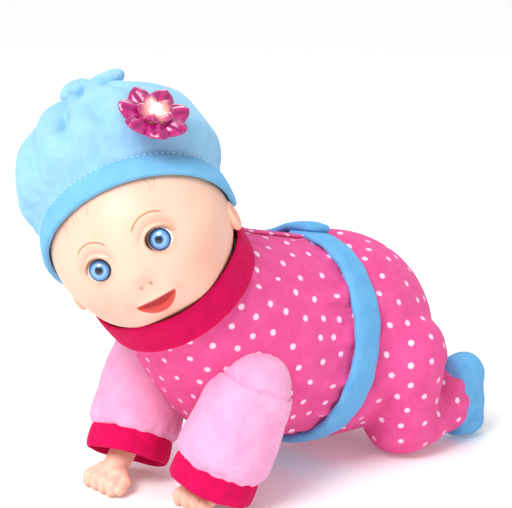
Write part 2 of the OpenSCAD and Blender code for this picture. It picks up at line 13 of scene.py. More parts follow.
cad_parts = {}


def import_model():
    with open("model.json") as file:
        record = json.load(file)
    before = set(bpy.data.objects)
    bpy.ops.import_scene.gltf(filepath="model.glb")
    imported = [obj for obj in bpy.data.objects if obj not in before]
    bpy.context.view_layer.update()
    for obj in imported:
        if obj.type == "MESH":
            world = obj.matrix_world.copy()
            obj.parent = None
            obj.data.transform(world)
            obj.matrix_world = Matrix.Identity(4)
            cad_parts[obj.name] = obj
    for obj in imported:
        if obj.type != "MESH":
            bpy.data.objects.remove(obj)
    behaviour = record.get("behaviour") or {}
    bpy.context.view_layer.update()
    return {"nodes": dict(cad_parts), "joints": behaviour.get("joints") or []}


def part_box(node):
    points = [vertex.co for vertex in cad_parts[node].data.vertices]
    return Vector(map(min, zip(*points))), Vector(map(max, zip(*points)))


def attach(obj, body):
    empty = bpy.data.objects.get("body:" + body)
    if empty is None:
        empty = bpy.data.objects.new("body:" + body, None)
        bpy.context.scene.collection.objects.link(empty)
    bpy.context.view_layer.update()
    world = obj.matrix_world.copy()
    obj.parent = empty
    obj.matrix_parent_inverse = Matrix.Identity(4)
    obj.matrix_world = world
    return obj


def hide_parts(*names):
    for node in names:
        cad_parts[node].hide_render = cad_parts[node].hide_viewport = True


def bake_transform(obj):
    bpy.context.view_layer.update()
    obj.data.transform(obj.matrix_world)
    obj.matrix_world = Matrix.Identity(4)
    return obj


bl_info = {
    "name": "Crawling Baby Doll",
    "version": (1, 0, 0),
    "blender": (4, 5, 0),
    "location": "3D View > Sidebar > Doll",
    "description": "Makes the doll's vinyl, sewn clothes, hat and lit flower around its frame",
    "category": "Add Mesh",
}

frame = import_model()

MM = 0.001
X_AXIS = Vector((1, 0, 0))

# ---------- places, from the frame ----------

JOINTS = {joint["name"]: joint for joint in frame["joints"]}


# The doll is laid out in millimetres from its own origin: on its middle plane, on the floor, 103 mm behind its head
HEAD_Y = -103.0
NECK_AT = Vector(JOINTS["neck_turn"]["pos_m"]) / MM
ORIGIN = Vector((NECK_AT.x, NECK_AT.y - HEAD_Y, 0))


def world(point):
    """A place of the doll's own, in millimetres, as a place of the scene's, in metres."""
    return (Vector(point) + ORIGIN) * MM


def joint_place(name):
    """Where a joint is, in millimetres from the doll's origin."""
    return Vector(JOINTS[name]["pos_m"]) / MM - ORIGIN


def box_corners(node):
    """The corners of a CAD node's box, in millimetres from the doll's origin."""
    return [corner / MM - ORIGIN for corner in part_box(node)]


def box_middle(node):
    low, high = box_corners(node)
    return (low + high) / 2


def axes_matrix(origin, z_axis):
    """A frame whose X runs across the doll and whose Z is the given direction."""
    z_axis = Vector(z_axis).normalized()
    y_axis = z_axis.cross(X_AXIS)
    turned = Matrix((X_AXIS, y_axis, z_axis)).transposed().to_4x4()
    return Matrix.Translation(origin) @ turned


HEAD_RADIUS = 56.0
HEAD_TURN = math.radians(51)
HEAD_PITCH = math.radians(2)
HAT_SLOPE = math.radians(33)
NECK_AXIS = Vector(JOINTS["neck_turn"]["axis"]).normalized()
NECK = axes_matrix(joint_place("neck_turn"), NECK_AXIS)
HEAD = (
    Matrix.Translation(joint_place("neck_turn"))
    @ Matrix.Rotation(HEAD_TURN, 4, NECK_AXIS)
    @ Matrix.Rotation(HEAD_PITCH, 4, "X")
)
HAT = HEAD @ Matrix.Rotation(-HAT_SLOPE, 4, "X")
TRUNK_ALONG = Vector(JOINTS["power_slide"]["axis"]).normalized()
# The trunk's frame: X across, Y up from the trunk's axis, Z from the neck towards the seat
TRUNK_UP = X_AXIS.cross(TRUNK_ALONG)
TRUNK = Matrix.Translation(box_middle("waist_band")) @ Matrix((X_AXIS, TRUNK_ALONG, TRUNK_UP)).transposed().to_4x4()
WAIST_RADIUS = 67.0
SIDES = {"left": 1, "right": -1}


def cuff_place(name):
    """The middle of a sleeve's opening: the cuff starts 5.6 mm before it along the arm and is 13 mm long."""
    return box_middle(f"{name}_cuff")


# ---------- colours and sizes that a user may change ----------


def linear(hexcode):
    """An sRGB hex colour as linear light, with full alpha."""
    parts = [int(hexcode[k : k + 2], 16) / 255 for k in (1, 3, 5)]
    return [c / 12.92 if c <= 0.04045 else ((c + 0.055) / 1.055) ** 2.4 for c in parts] + [1.0]


def colour_property(name, description, hexcode):
    return FloatVectorProperty(
        name=name, description=description, subtype="COLOR", size=4, min=0, max=1, default=linear(hexcode)
    )


class DollColours(bpy.types.PropertyGroup):
    velour: colour_property("Velour", "Ground of the dotted suit", "#F0609F")
    dots: colour_property("Dots", "Dots printed on the suit", "#FBD6EC")
    pale_velour: colour_property("Pale velour", "Sleeves", "#FBB9DC")
    crimson: colour_property("Crimson jersey", "Collar and cuffs", "#E2045C")
    sky_blue: colour_property("Sky-blue jersey", "Waist band and booties", "#74B8E8")
    hat: colour_property("Hat jersey", "Crown of the hat", "#A5D2F2")
    hat_band: colour_property("Hat band", "Turned-up band of the hat", "#82C2EC")
    skin: colour_property("Vinyl", "Vinyl of the head and hands", "#FCCFB6")
    # The blush colour is also used for painted shade in the mouth's dimples and the ears' bowls
    blush_and_shade: colour_property("Blush", "Blush sprayed on the vinyl", "#F59A86")
    lips: colour_property("Lips", "Paint of the mouth", "#DA3233")
    iris: colour_property("Iris", "Middle ring of the printed iris", "#5A9FE0")
    flower: colour_property("Flower", "Translucent petals", "#C2187A")


class DollSizes(bpy.types.PropertyGroup):
    dot_diameter: FloatProperty(name="Dot", description="Diameter of a dot, mm", default=3.9, min=2, max=8)
    dot_pitch: FloatProperty(name="Dot spacing", description="Distance between dots, mm", default=12.0, min=7, max=20)
    fold_depth: FloatProperty(
        name="Fold depth", description="Depth of the gathered folds, mm", default=1.6, min=0, max=3
    )
    petals: IntProperty(name="Petals", description="Petals of the flower", default=7, min=5, max=9)
    stitch: FloatProperty(name="Stitch", description="Length of a topstitch, mm", default=2.4, min=1, max=5)


# ---------- mesh helpers ----------


def read_points(mesh):
    """The mesh's points as an array."""
    flat = np.empty(len(mesh.vertices) * 3, np.float64)
    mesh.vertices.foreach_get("co", flat)
    return flat.reshape(-1, 3)


def write_points(mesh, points):
    mesh.vertices.foreach_set("co", np.asarray(points, np.float32).ravel())
    mesh.update()


def own_points(made):
    """The object's points in millimetres from the doll's origin."""
    return read_points(made.data) / MM - np.array(ORIGIN)


def set_own_points(made, points):
    write_points(made.data, (points + np.array(ORIGIN)) * MM)


def shaped(bm, rule):
    """Moves every vertex of bm to where rule puts it; rule takes and returns an array of points."""
    bm.verts.ensure_lookup_table()
    points = rule(np.array([v.co for v in bm.verts]))
    for vert, point in zip(bm.verts, points):
        vert.co = point
    return bm


def tube(around, along):
    """An open unit tube round Z that runs from z = 0 to z = 1."""
    bm = bmesh.new()
    line = [bm.verts.new((1, 0, k / along)) for k in range(along + 1)]
    edges = [bm.edges.new(pair) for pair in zip(line, line[1:])]
    bmesh.ops.spin(
        bm, geom=line + edges, cent=(0, 0, 0), axis=(0, 0, 1), angle=math.tau, steps=around, use_merge=True
    )
    return bm


def lathe(profile, around):
    """Spins an open outline of (radius, height) points round Z."""
    bm = bmesh.new()
    line = [bm.verts.new((max(r, 0), 0, z)) for r, z in profile]
    edges = [bm.edges.new(pair) for pair in zip(line, line[1:])]
    bmesh.ops.spin(
        bm, geom=line + edges, cent=(0, 0, 0), axis=(0, 0, 1), angle=math.tau, steps=around, use_merge=True
    )
    bmesh.ops.remove_doubles(bm, verts=bm.verts, dist=1e-4)
    bmesh.ops.recalc_face_normals(bm, faces=bm.faces)
    return bm


def ball(bm, centre, radius, scale=(1, 1, 1), subdivisions=3):
    """Adds a round or squashed ball."""
    place = Matrix.Translation(centre) @ Matrix.Diagonal((*scale, 1))
    bmesh.ops.create_icosphere(bm, subdivisions=subdivisions, radius=radius, matrix=place)


def capsule(bm, start, end, start_radius, end_radius):
    """Adds a tapered rod with round ends."""
    start, end = Vector(start), Vector(end)
    steps = max(2, int((end - start).length / (0.35 * min(start_radius, end_radius))))
    for k in range(steps + 1):
        share = k / steps
        ball(bm, start.lerp(end, share), start_radius + (end_radius - start_radius) * share)


def closed_up(bm):
    """Merges doubled points, fills open ends and points the faces outwards."""
    bmesh.ops.remove_doubles(bm, verts=bm.verts, dist=1e-4)
    open_edges = [edge for edge in bm.edges if edge.is_boundary]
    if open_edges:
        bmesh.ops.holes_fill(bm, edges=open_edges, sides=0)
    bmesh.ops.recalc_face_normals(bm, faces=bm.faces)
    return bm


def as_object(bm, name, place=Matrix.Identity(4)):
    """Ends the bmesh as an object in metres, with its place in its mesh."""
    bm.transform(Matrix.Scale(MM, 4) @ Matrix.Translation(ORIGIN) @ place)
    mesh = bpy.data.meshes.new(name)
    bm.to_mesh(mesh)
    bm.free()
    mesh.shade_smooth()
    made = bpy.data.objects.new(name, mesh)
    bpy.context.scene.collection.objects.link(made)
    return made


def with_modifiers_applied(made):
    """Turns the object's modifiers into its mesh."""
    graph = bpy.context.evaluated_depsgraph_get()
    graph.update()
    mesh = bpy.data.meshes.new_from_object(made.evaluated_get(graph))
    made.modifiers.clear()
    made.data = mesh
    mesh.shade_smooth()
    return made


def remeshed(made, voxel, smooth_steps=4):
    """Joins overlapping solids into one skin and softens where they meet; voxel is in millimetres."""
    skin = made.modifiers.new("skin", "REMESH")
    skin.mode = "VOXEL"
    skin.voxel_size = voxel * MM
    soft = made.modifiers.new("soft", "SMOOTH")
    soft.factor = 0.5
    soft.iterations = smooth_steps
    return with_modifiers_applied(made)


def subdivided(made, levels=1):
    finer = made.modifiers.new("finer", "SUBSURF")
    finer.levels = levels
    finer.render_levels = levels
    return with_modifiers_applied(made)


def sliced(made, point, normal, **cleared):
    """Cuts a piece along a plane and clears the side named."""
    bm = bmesh.new()
    bm.from_mesh(made.data)
    geometry = bm.verts[:] + bm.edges[:] + bm.faces[:]
    bmesh.ops.bisect_plane(bm, geom=geometry, plane_co=point, plane_no=normal, **cleared)
    bm.to_mesh(made.data)
    bm.free()
    made.data.shade_smooth()


def thickened(made, thickness, offset=-1):
    """Gives an open cloth its thickness, in millimetres."""
    wall = made.modifiers.new("wall", "SOLIDIFY")
    wall.thickness = thickness * MM
    wall.offset = offset
    return with_modifiers_applied(made)


def point_normals(mesh):
    flat = np.empty(len(mesh.vertices) * 3, np.float32)
    mesh.vertex_normals.foreach_get("vector", flat)
    return flat.reshape(-1, 3).astype(float)


def store(made, name, values, kind="FLOAT"):
    """Keeps one value a point as an attribute that a material can read."""
    attribute = made.data.attributes.get(name) or made.data.attributes.new(name, kind, "POINT")
    key = "vector" if kind == "FLOAT_VECTOR" else "value"
    attribute.data.foreach_set(key, np.asarray(values, np.float32).ravel())


def stored(made, name, kind="FLOAT"):
    width = 3 if kind == "FLOAT_VECTOR" else 1
    flat = np.empty(len(made.data.vertices) * width, np.float32)
    key = "vector" if kind == "FLOAT_VECTOR" else "value"
    made.data.attributes[name].data.foreach_get(key, flat)
    return flat.reshape(-1, width).astype(float).squeeze()


def smooth_path(stations, share):
    """A smooth line through stations, (share, value, ...) rows, read at an array of shares."""
    table = np.array(stations, float)
    at, values = table[:, 0], table[:, 1:]
    slopes = np.gradient(values, at, axis=0)
    k = np.clip(np.searchsorted(at, share) - 1, 0, len(at) - 2)
    width = (at[k + 1] - at[k])[:, None]
    t = ((share - at[k])[:, None]) / width
    return (
        (2 * t**3 - 3 * t**2 + 1) * values[k]
        + (t**3 - 2 * t**2 + t) * width * slopes[k]
        + (3 * t**2 - 2 * t**3) * values[k + 1]
        + (t**3 - t**2) * width * slopes[k + 1]
    )


def step(value, low, high):
    """0 below low, 1 above high, and smooth between."""
    t = np.clip((value - low) / (high - low), 0, 1)
    return t * t * (3 - 2 * t)


def lumps(points, size, seed):
    """Smooth noise from -1 to 1 whose lumps are about size millimetres across."""
    shift = Vector((seed * 7.31, seed * 3.17, seed * 5.71))
    return np.array([noise.noise(Vector(p) / size + shift) for p in points])


def transformed(points, matrix):
    table = np.array(matrix)
    return points @ table[:3, :3].T + table[:3, 3]


def eased_off(made, node, gap):
    """Moves cloth out to gap millimetres over the outer form of a CAD piece wherever it lies closer or sinks in."""
    inner = frame["nodes"][node]
    bm = bmesh.new()
    for vertex in inner.data.vertices:
        bm.verts.new(inner.matrix_world @ vertex.co)
    bmesh.ops.convex_hull(bm, input=bm.verts[:])
    bmesh.ops.recalc_face_normals(bm, faces=bm.faces)
    skin = BVHTree.FromBMesh(bm)
    bm.free()
    points = read_points(made.data)
    for k, point in enumerate(points):
        near, normal, _, _ = skin.find_nearest(Vector(point))
        short = gap * MM - (Vector(point) - near).dot(normal)
        if short > 0:
            points[k] = Vector(point) + normal * short
    write_points(made.data, points)


def pulled_folds(made, pins, grow, cap, seed, frames=18, pressure=0.6, bending=0.4):
    """Lets cloth that is cut a little too large settle into its own folds between its pinned seams.
    The cloth is worked on at ten times its size, which suits the solver, and no point moves further than cap."""
    rest = read_points(made.data)
    normals = point_normals(made.data)
    start = rest + normals * (lumps(rest / MM, 16, seed) * 0.5 * MM * (1 - pins))[:, None]
    large = 10.0
    write_points(made.data, start * large)
    group = made.vertex_groups.new(name="pins")
    for value in np.unique(np.round(pins, 1)):
        if value > 0:
            group.add([int(k) for k in np.flatnonzero(np.round(pins, 1) == value)], float(value), "REPLACE")
    modifier = made.modifiers.new("cloth", "CLOTH")
    cloth = modifier.settings
    cloth.quality = 5
    cloth.mass = 0.12
    cloth.tension_stiffness = 12
    cloth.compression_stiffness = 12
    cloth.shear_stiffness = 4
    cloth.bending_stiffness = bending
    cloth.air_damping = 3
    cloth.shrink_min = -grow
    cloth.vertex_group_mass = "pins"
    cloth.effector_weights.gravity = 0
    cloth.use_pressure = True
    cloth.uniform_pressure_force = pressure
    modifier.collision_settings.use_collision = False
    modifier.point_cache.frame_start = 1
    modifier.point_cache.frame_end = frames
    scene = bpy.context.scene
    for number in range(1, frames + 1):
        scene.frame_set(number)
    graph = bpy.context.evaluated_depsgraph_get()
    settled = read_points(made.evaluated_get(graph).data) / large
    made.modifiers.clear()
    made.vertex_groups.clear()
    scene.frame_set(1)
    move = settled - start
    # Cloth over stuffing can billow out but hardly sink in
    sink = (move * normals).sum(1, keepdims=True) + 0.5 * MM
    move -= normals * np.minimum(sink, 0)
    length = np.linalg.norm(move, axis=1, keepdims=True)
    move *= np.minimum(1, cap * MM / np.maximum(length, 1e-9)) * (1 - pins)[:, None]
    write_points(made.data, start + move)
    return made


def print_dots(made, rest, pitch):
    """Scatters evenly spaced dot centres over the flat cloth and keeps each point's distance to the nearest, in mm."""
    points = rest / MM
    nearest = np.linalg.norm(points - points[0], axis=1)
    for _ in range(1200):
        farthest = int(np.argmax(nearest))
        if nearest[farthest] < pitch:
            break
        nearest = np.minimum(nearest, np.linalg.norm(points - points[farthest], axis=1))
    store(made, "dot_mm", nearest)


# ---------- materials ----------


def add(tree, kind, inputs=(), **settings):
    """Adds one node with its settings, and fills its inputs with values or links."""
    made = tree.nodes.new(kind)
    for name, value in settings.items():
        setattr(made, name, value)
    for key, value in dict(inputs).items():
        if isinstance(value, bpy.types.NodeSocket):
            tree.links.new(value, made.inputs[key])
        else:
            made.inputs[key].default_value = value
    return made


def new_material(name):
    """An empty material with its shader, its output and the piece's own coordinates."""
    material = bpy.data.materials.new(name)
    material.use_nodes = True
    tree = material.node_tree
    tree.nodes.clear()
    shader = add(tree, "ShaderNodeBsdfPrincipled")
    add(tree, "ShaderNodeOutputMaterial", {"Surface": shader.outputs["BSDF"]})
    place = add(tree, "ShaderNodeTexCoord").outputs["Object"]
    return material, tree, shader, place


def per_mm(size):
    """The scale of a pattern, in metres, whose features are size millimetres across."""
    return 1 / (size * MM)


def wear_finish(name, base, dark, roughness, grain_mm, bump, metallic=0.0, coat=0.0, ior=1.46):
    """Moulded or metal finish: a faint cloudy colour, a fine grain in the gloss and a shallow grain in the surface."""
    material, tree, shader, place = new_material(name)
    cloud = add(tree, "ShaderNodeTexNoise", {"Vector": place, "Scale": per_mm(9), "Detail": 3.0})
    grain = add(tree, "ShaderNodeTexNoise", {"Vector": place, "Scale": per_mm(grain_mm), "Detail": 2.0})
    # A colour Mix node's sockets share names, so its colour pair is filled by number: 6 and 7
    tint = add(tree, "ShaderNodeMix", {0: cloud.outputs["Fac"], 6: base, 7: dark}, data_type="RGBA")
    gloss = add(
        tree,
        "ShaderNodeMapRange",
        {"Value": grain.outputs["Fac"], "To Min": roughness - 0.06, "To Max": roughness + 0.08},
    )
    relief = add(
        tree, "ShaderNodeBump", {"Height": grain.outputs["Fac"], "Strength": bump, "Distance": grain_mm * 0.1 * MM}
    )
    tree.links.new(tint.outputs[2], shader.inputs["Base Color"])
    tree.links.new(gloss.outputs["Result"], shader.inputs["Roughness"])
    tree.links.new(relief.outputs["Normal"], shader.inputs["Normal"])
    shader.inputs["Metallic"].default_value = metallic
    shader.inputs["Coat Weight"].default_value = coat
    if not metallic:
        shader.inputs["IOR"].default_value = ior
    return material


def cloth_finish(name, base, shade, pile_mm, depth_mm, sheen, knit_mm=0.0, dots=None, dot_radius=0.0):
    """Sewn cloth: nap that lies light and dark in patches, a fuzzy pile, and knitted loops where knit_mm is given."""
    material, tree, shader, place = new_material(name)
    nap = add(tree, "ShaderNodeTexNoise", {"Vector": place, "Scale": per_mm(11), "Detail": 4.0, "Roughness": 0.6})
    pile = add(tree, "ShaderNodeTexNoise", {"Vector": place, "Scale": per_mm(pile_mm), "Detail": 3.0, "Roughness": 0.7})
    patches = add(
        tree,
        "ShaderNodeMapRange",
        {"Value": nap.outputs["Fac"], "From Min": 0.35, "From Max": 0.68, "To Min": 0.0, "To Max": 0.55},
    )
    fuzz = add(
        tree,
        "ShaderNodeMath",
        {0: pile.outputs["Fac"], 1: 0.5, 2: patches.outputs["Result"]},
        operation="MULTIPLY_ADD",
    )
    tint = add(tree, "ShaderNodeMix", {0: fuzz.outputs["Value"], 6: base, 7: shade}, data_type="RGBA")
    colour = tint.outputs[2]
    if dots is not None:
        near = add(tree, "ShaderNodeAttribute", attribute_name="dot_mm")
        ragged = add(
            tree, "ShaderNodeMath", {0: pile.outputs["Fac"], 1: 0.7, 2: near.outputs["Fac"]}, operation="MULTIPLY_ADD"
        )
        edge = add(
            tree,
            "ShaderNodeMapRange",
            {
                "Value": ragged.outputs["Value"],
                "From Min": dot_radius + 0.05,
                "From Max": dot_radius + 0.75,
                "To Min": 1.0,
                "To Max": 0.0,
            },
            interpolation_type="SMOOTHSTEP",
        )
        printed = add(tree, "ShaderNodeMix", {"Factor": edge.outputs["Result"]}, data_type="RGBA")
        tree.links.new(colour, printed.inputs[6])
        printed.inputs[7].default_value = dots
        colour = printed.outputs[2]
    height = pile.outputs["Fac"]
    if knit_mm:
        loops = add(
            tree, "ShaderNodeTexVoronoi", {"Vector": place, "Scale": per_mm(knit_mm)}, feature="SMOOTH_F1"
        )
        height = add(
            tree,
            "ShaderNodeMath",
            {0: loops.outputs["Distance"], 1: 0.8, 2: pile.outputs["Fac"]},
            operation="MULTIPLY_ADD",
        ).outputs["Value"]
    relief = add(tree, "ShaderNodeBump", {"Height": height, "Strength": 0.55, "Distance": depth_mm * MM})
    tree.links.new(colour, shader.inputs["Base Color"])
    tree.links.new(relief.outputs["Normal"], shader.inputs["Normal"])
    shader.inputs["Roughness"].default_value = 0.92
    shader.inputs["Specular IOR Level"].default_value = 0.2
    shader.inputs["Sheen Weight"].default_value = sheen
    shader.inputs["Sheen Roughness"].default_value = 0.45
    shader.inputs["Sheen Tint"].default_value = [min(1, c * 1.3 + 0.15) for c in base[:3]] + [1]
    return material


def skin_finish(colours):
    """Rotocast soft vinyl with sprayed blush and painted shade in its hollows: satin, a little translucent, with lips,
    brows and lashes in matt paint.
    """
    material, tree, shader, place = new_material("Rotocast vinyl, sprayed and painted")
    cloud = add(tree, "ShaderNodeTexNoise", {"Vector": place, "Scale": per_mm(22), "Detail": 3.0})
    grain = add(tree, "ShaderNodeTexNoise", {"Vector": place, "Scale": per_mm(0.9), "Detail": 2.0})
    warm = add(tree, "ShaderNodeMix", data_type="RGBA")
    mottled = add(
        tree, "ShaderNodeMapRange", {"Value": cloud.outputs["Fac"], "From Min": 0.3, "From Max": 0.75, "To Max": 0.22}
    )
    blush_and_shade = add(tree, "ShaderNodeAttribute", attribute_name="blush_and_shade")
    # Blush and painted shade, with a faint random mottle
    blush_shade_and_mottle = add(tree, "ShaderNodeMath", {0: blush_and_shade.outputs["Fac"], 1: mottled.outputs["Result"]}, operation="ADD")
    blush_shade_and_mottle.use_clamp = True
    tree.links.new(blush_shade_and_mottle.outputs["Value"], warm.inputs[0])
    warm.inputs[6].default_value = tuple(colours.skin)
    warm.inputs[7].default_value = tuple(colours.blush_and_shade)
    colour = warm.outputs[2]
    # Paint laid over the skin in turn: lips, the darker middle of the mouth, brows and lashes, and painted shade in the
    # nostrils and behind the eyes
    for mask, paint in (
        ("lip", tuple(colours.lips)),
        ("mouth", linear("#9E1420")),
        ("brow", linear("#A8714C")),
        ("hollow", linear("#8A4A3A")),
    ):
        where = add(tree, "ShaderNodeAttribute", attribute_name=mask)
        over = add(tree, "ShaderNodeMix", {0: where.outputs["Fac"]}, data_type="RGBA")
        tree.links.new(colour, over.inputs[6])
        over.inputs[7].default_value = paint
        colour = over.outputs[2]
    gloss = add(tree, "ShaderNodeMapRange", {"Value": grain.outputs["Fac"], "To Min": 0.36, "To Max": 0.52})
    relief = add(tree, "ShaderNodeBump", {"Height": grain.outputs["Fac"], "Strength": 0.12, "Distance": 0.06 * MM})
    tree.links.new(colour, shader.inputs["Base Color"])
    tree.links.new(gloss.outputs["Result"], shader.inputs["Roughness"])
    tree.links.new(relief.outputs["Normal"], shader.inputs["Normal"])
    shader.inputs["IOR"].default_value = 1.5
    shader.inputs["Subsurface Weight"].default_value = 0.12
    shader.inputs["Subsurface Radius"].default_value = (1.0, 0.35, 0.2)
    shader.inputs["Subsurface Scale"].default_value = 4 * MM
    return material


def eye_finish(colours):
    """Clear moulded dome over a printed iris: the dome gives a wet highlight, the print a dark rim and fine spokes."""
    material, tree, shader, _ = new_material("Clear dome over a printed iris")
    polar = add(tree, "ShaderNodeAttribute", attribute_name="iris_polar")
    parts = add(tree, "ShaderNodeSeparateXYZ", {"Vector": polar.outputs["Vector"]})
    stretch = add(tree, "ShaderNodeVectorMath", {0: polar.outputs["Vector"], 1: (9, 9, 0.35)}, operation="MULTIPLY")
    spokes = add(tree, "ShaderNodeTexNoise", {"Vector": stretch.outputs["Vector"], "Scale": 1.0, "Detail": 3.0})
    wobble = add(
        tree, "ShaderNodeMath", {0: spokes.outputs["Fac"], 1: 0.5, 2: parts.outputs["Z"]}, operation="MULTIPLY_ADD"
    )
    share = add(tree, "ShaderNodeMath", {0: wobble.outputs["Value"], 1: 10.0}, operation="DIVIDE")
    ramp = add(tree, "ShaderNodeValToRGB", {"Fac": share.outputs["Value"]})
    stops = (
        (0.0, "#0B1018"),
        (0.215, "#0E141F"),
        (0.25, "#2C5E9C"),
        (0.36, "#8FC3EE"),
        (0.50, tuple(colours.iris)),
        (0.585, "#3E7CC4"),
        (0.625, "#16204A"),
        (0.68, "#16204A"),
        (0.70, "#F7F6F4"),
        (1.0, "#F2EEEA"),
    )
    elements = ramp.color_ramp.elements
    while len(elements) < len(stops):
        elements.new(0.5)
    for element, (place, colour) in zip(elements, stops):
        element.position = place
        element.color = linear(colour) if isinstance(colour, str) else colour
    tree.links.new(ramp.outputs["Color"], shader.inputs["Base Color"])
    gloss = add(tree, "ShaderNodeMapRange", {"Value": spokes.outputs["Fac"], "To Min": 0.2, "To Max": 0.34})
    tree.links.new(gloss.outputs["Result"], shader.inputs["Roughness"])
    shader.inputs["Coat Weight"].default_value = 1.0
    shader.inputs["Coat Roughness"].default_value = 0.03
    shader.inputs["IOR"].default_value = 1.49
    return material


def petal_finish(colours):
    """Translucent tinted acrylic, polished from the mould, with painted shade in its grooves, lighter ridges, and a
    painted glow that fades with distance from the lamp.
    """
    material, tree, shader, place = new_material("Tinted acrylic, polished mould")
    near = add(tree, "ShaderNodeAttribute", attribute_name="lamp_mm")
    depth = add(tree, "ShaderNodeAttribute", attribute_name="ridge_shading")
    swirl = add(tree, "ShaderNodeTexNoise", {"Vector": place, "Scale": per_mm(5), "Detail": 2.0})
    # Painted shade: darker in the grooves between the ridges and lighter on the ridges
    deep = add(
        tree, "ShaderNodeMath", {0: swirl.outputs["Fac"], 1: 0.3, 2: depth.outputs["Fac"]}, operation="MULTIPLY_ADD"
    )
    tint = add(
        tree,
        "ShaderNodeMix",
        {0: deep.outputs["Value"], 6: linear("#7E0B50"), 7: tuple(colours.flower)},
        data_type="RGBA",
    )
    # Painted glow: the petals emit light that fades from 2 to 12 mm from the lamp, standing in for the lamp shining
    # through them
    glow = add(
        tree,
        "ShaderNodeMapRange",
        {"Value": near.outputs["Fac"], "From Min": 2.0, "From Max": 12.0, "To Min": 1.0, "To Max": 0.0},
        interpolation_type="SMOOTHERSTEP",
    )
    light = add(
        tree, "ShaderNodeMix", {0: glow.outputs["Result"], 6: linear("#200010"), 7: linear("#FFD8A0")}, data_type="RGBA"
    )
    tree.links.new(tint.outputs[2], shader.inputs["Base Color"])
    tree.links.new(light.outputs[2], shader.inputs["Emission Color"])
    shader.inputs["Emission Strength"].default_value = 1.1
    shader.inputs["Roughness"].default_value = 0.16
    shader.inputs["IOR"].default_value = 1.49
    shader.inputs["Coat Weight"].default_value = 0.8
    shader.inputs["Coat Roughness"].default_value = 0.05
    return material


def lamp_finish():
    """Warm-white lamp under a clear dome, shown lit, with a faint cloudy tint."""
    material, tree, shader, place = new_material("Lit warm-white lamp")
    haze = add(tree, "ShaderNodeTexNoise", {"Vector": place, "Scale": per_mm(2), "Detail": 1.0})
    tint = add(
        tree, "ShaderNodeMix", {0: haze.outputs["Fac"], 6: linear("#FFFDF2"), 7: linear("#FFF0C4")}, data_type="RGBA"
    )
    tree.links.new(tint.outputs[2], shader.inputs["Emission Color"])
    tree.links.new(tint.outputs[2], shader.inputs["Base Color"])
    shader.inputs["Emission Strength"].default_value = 9.0
    shader.inputs["Roughness"].default_value = 0.2
    return material


FINISHES = {}


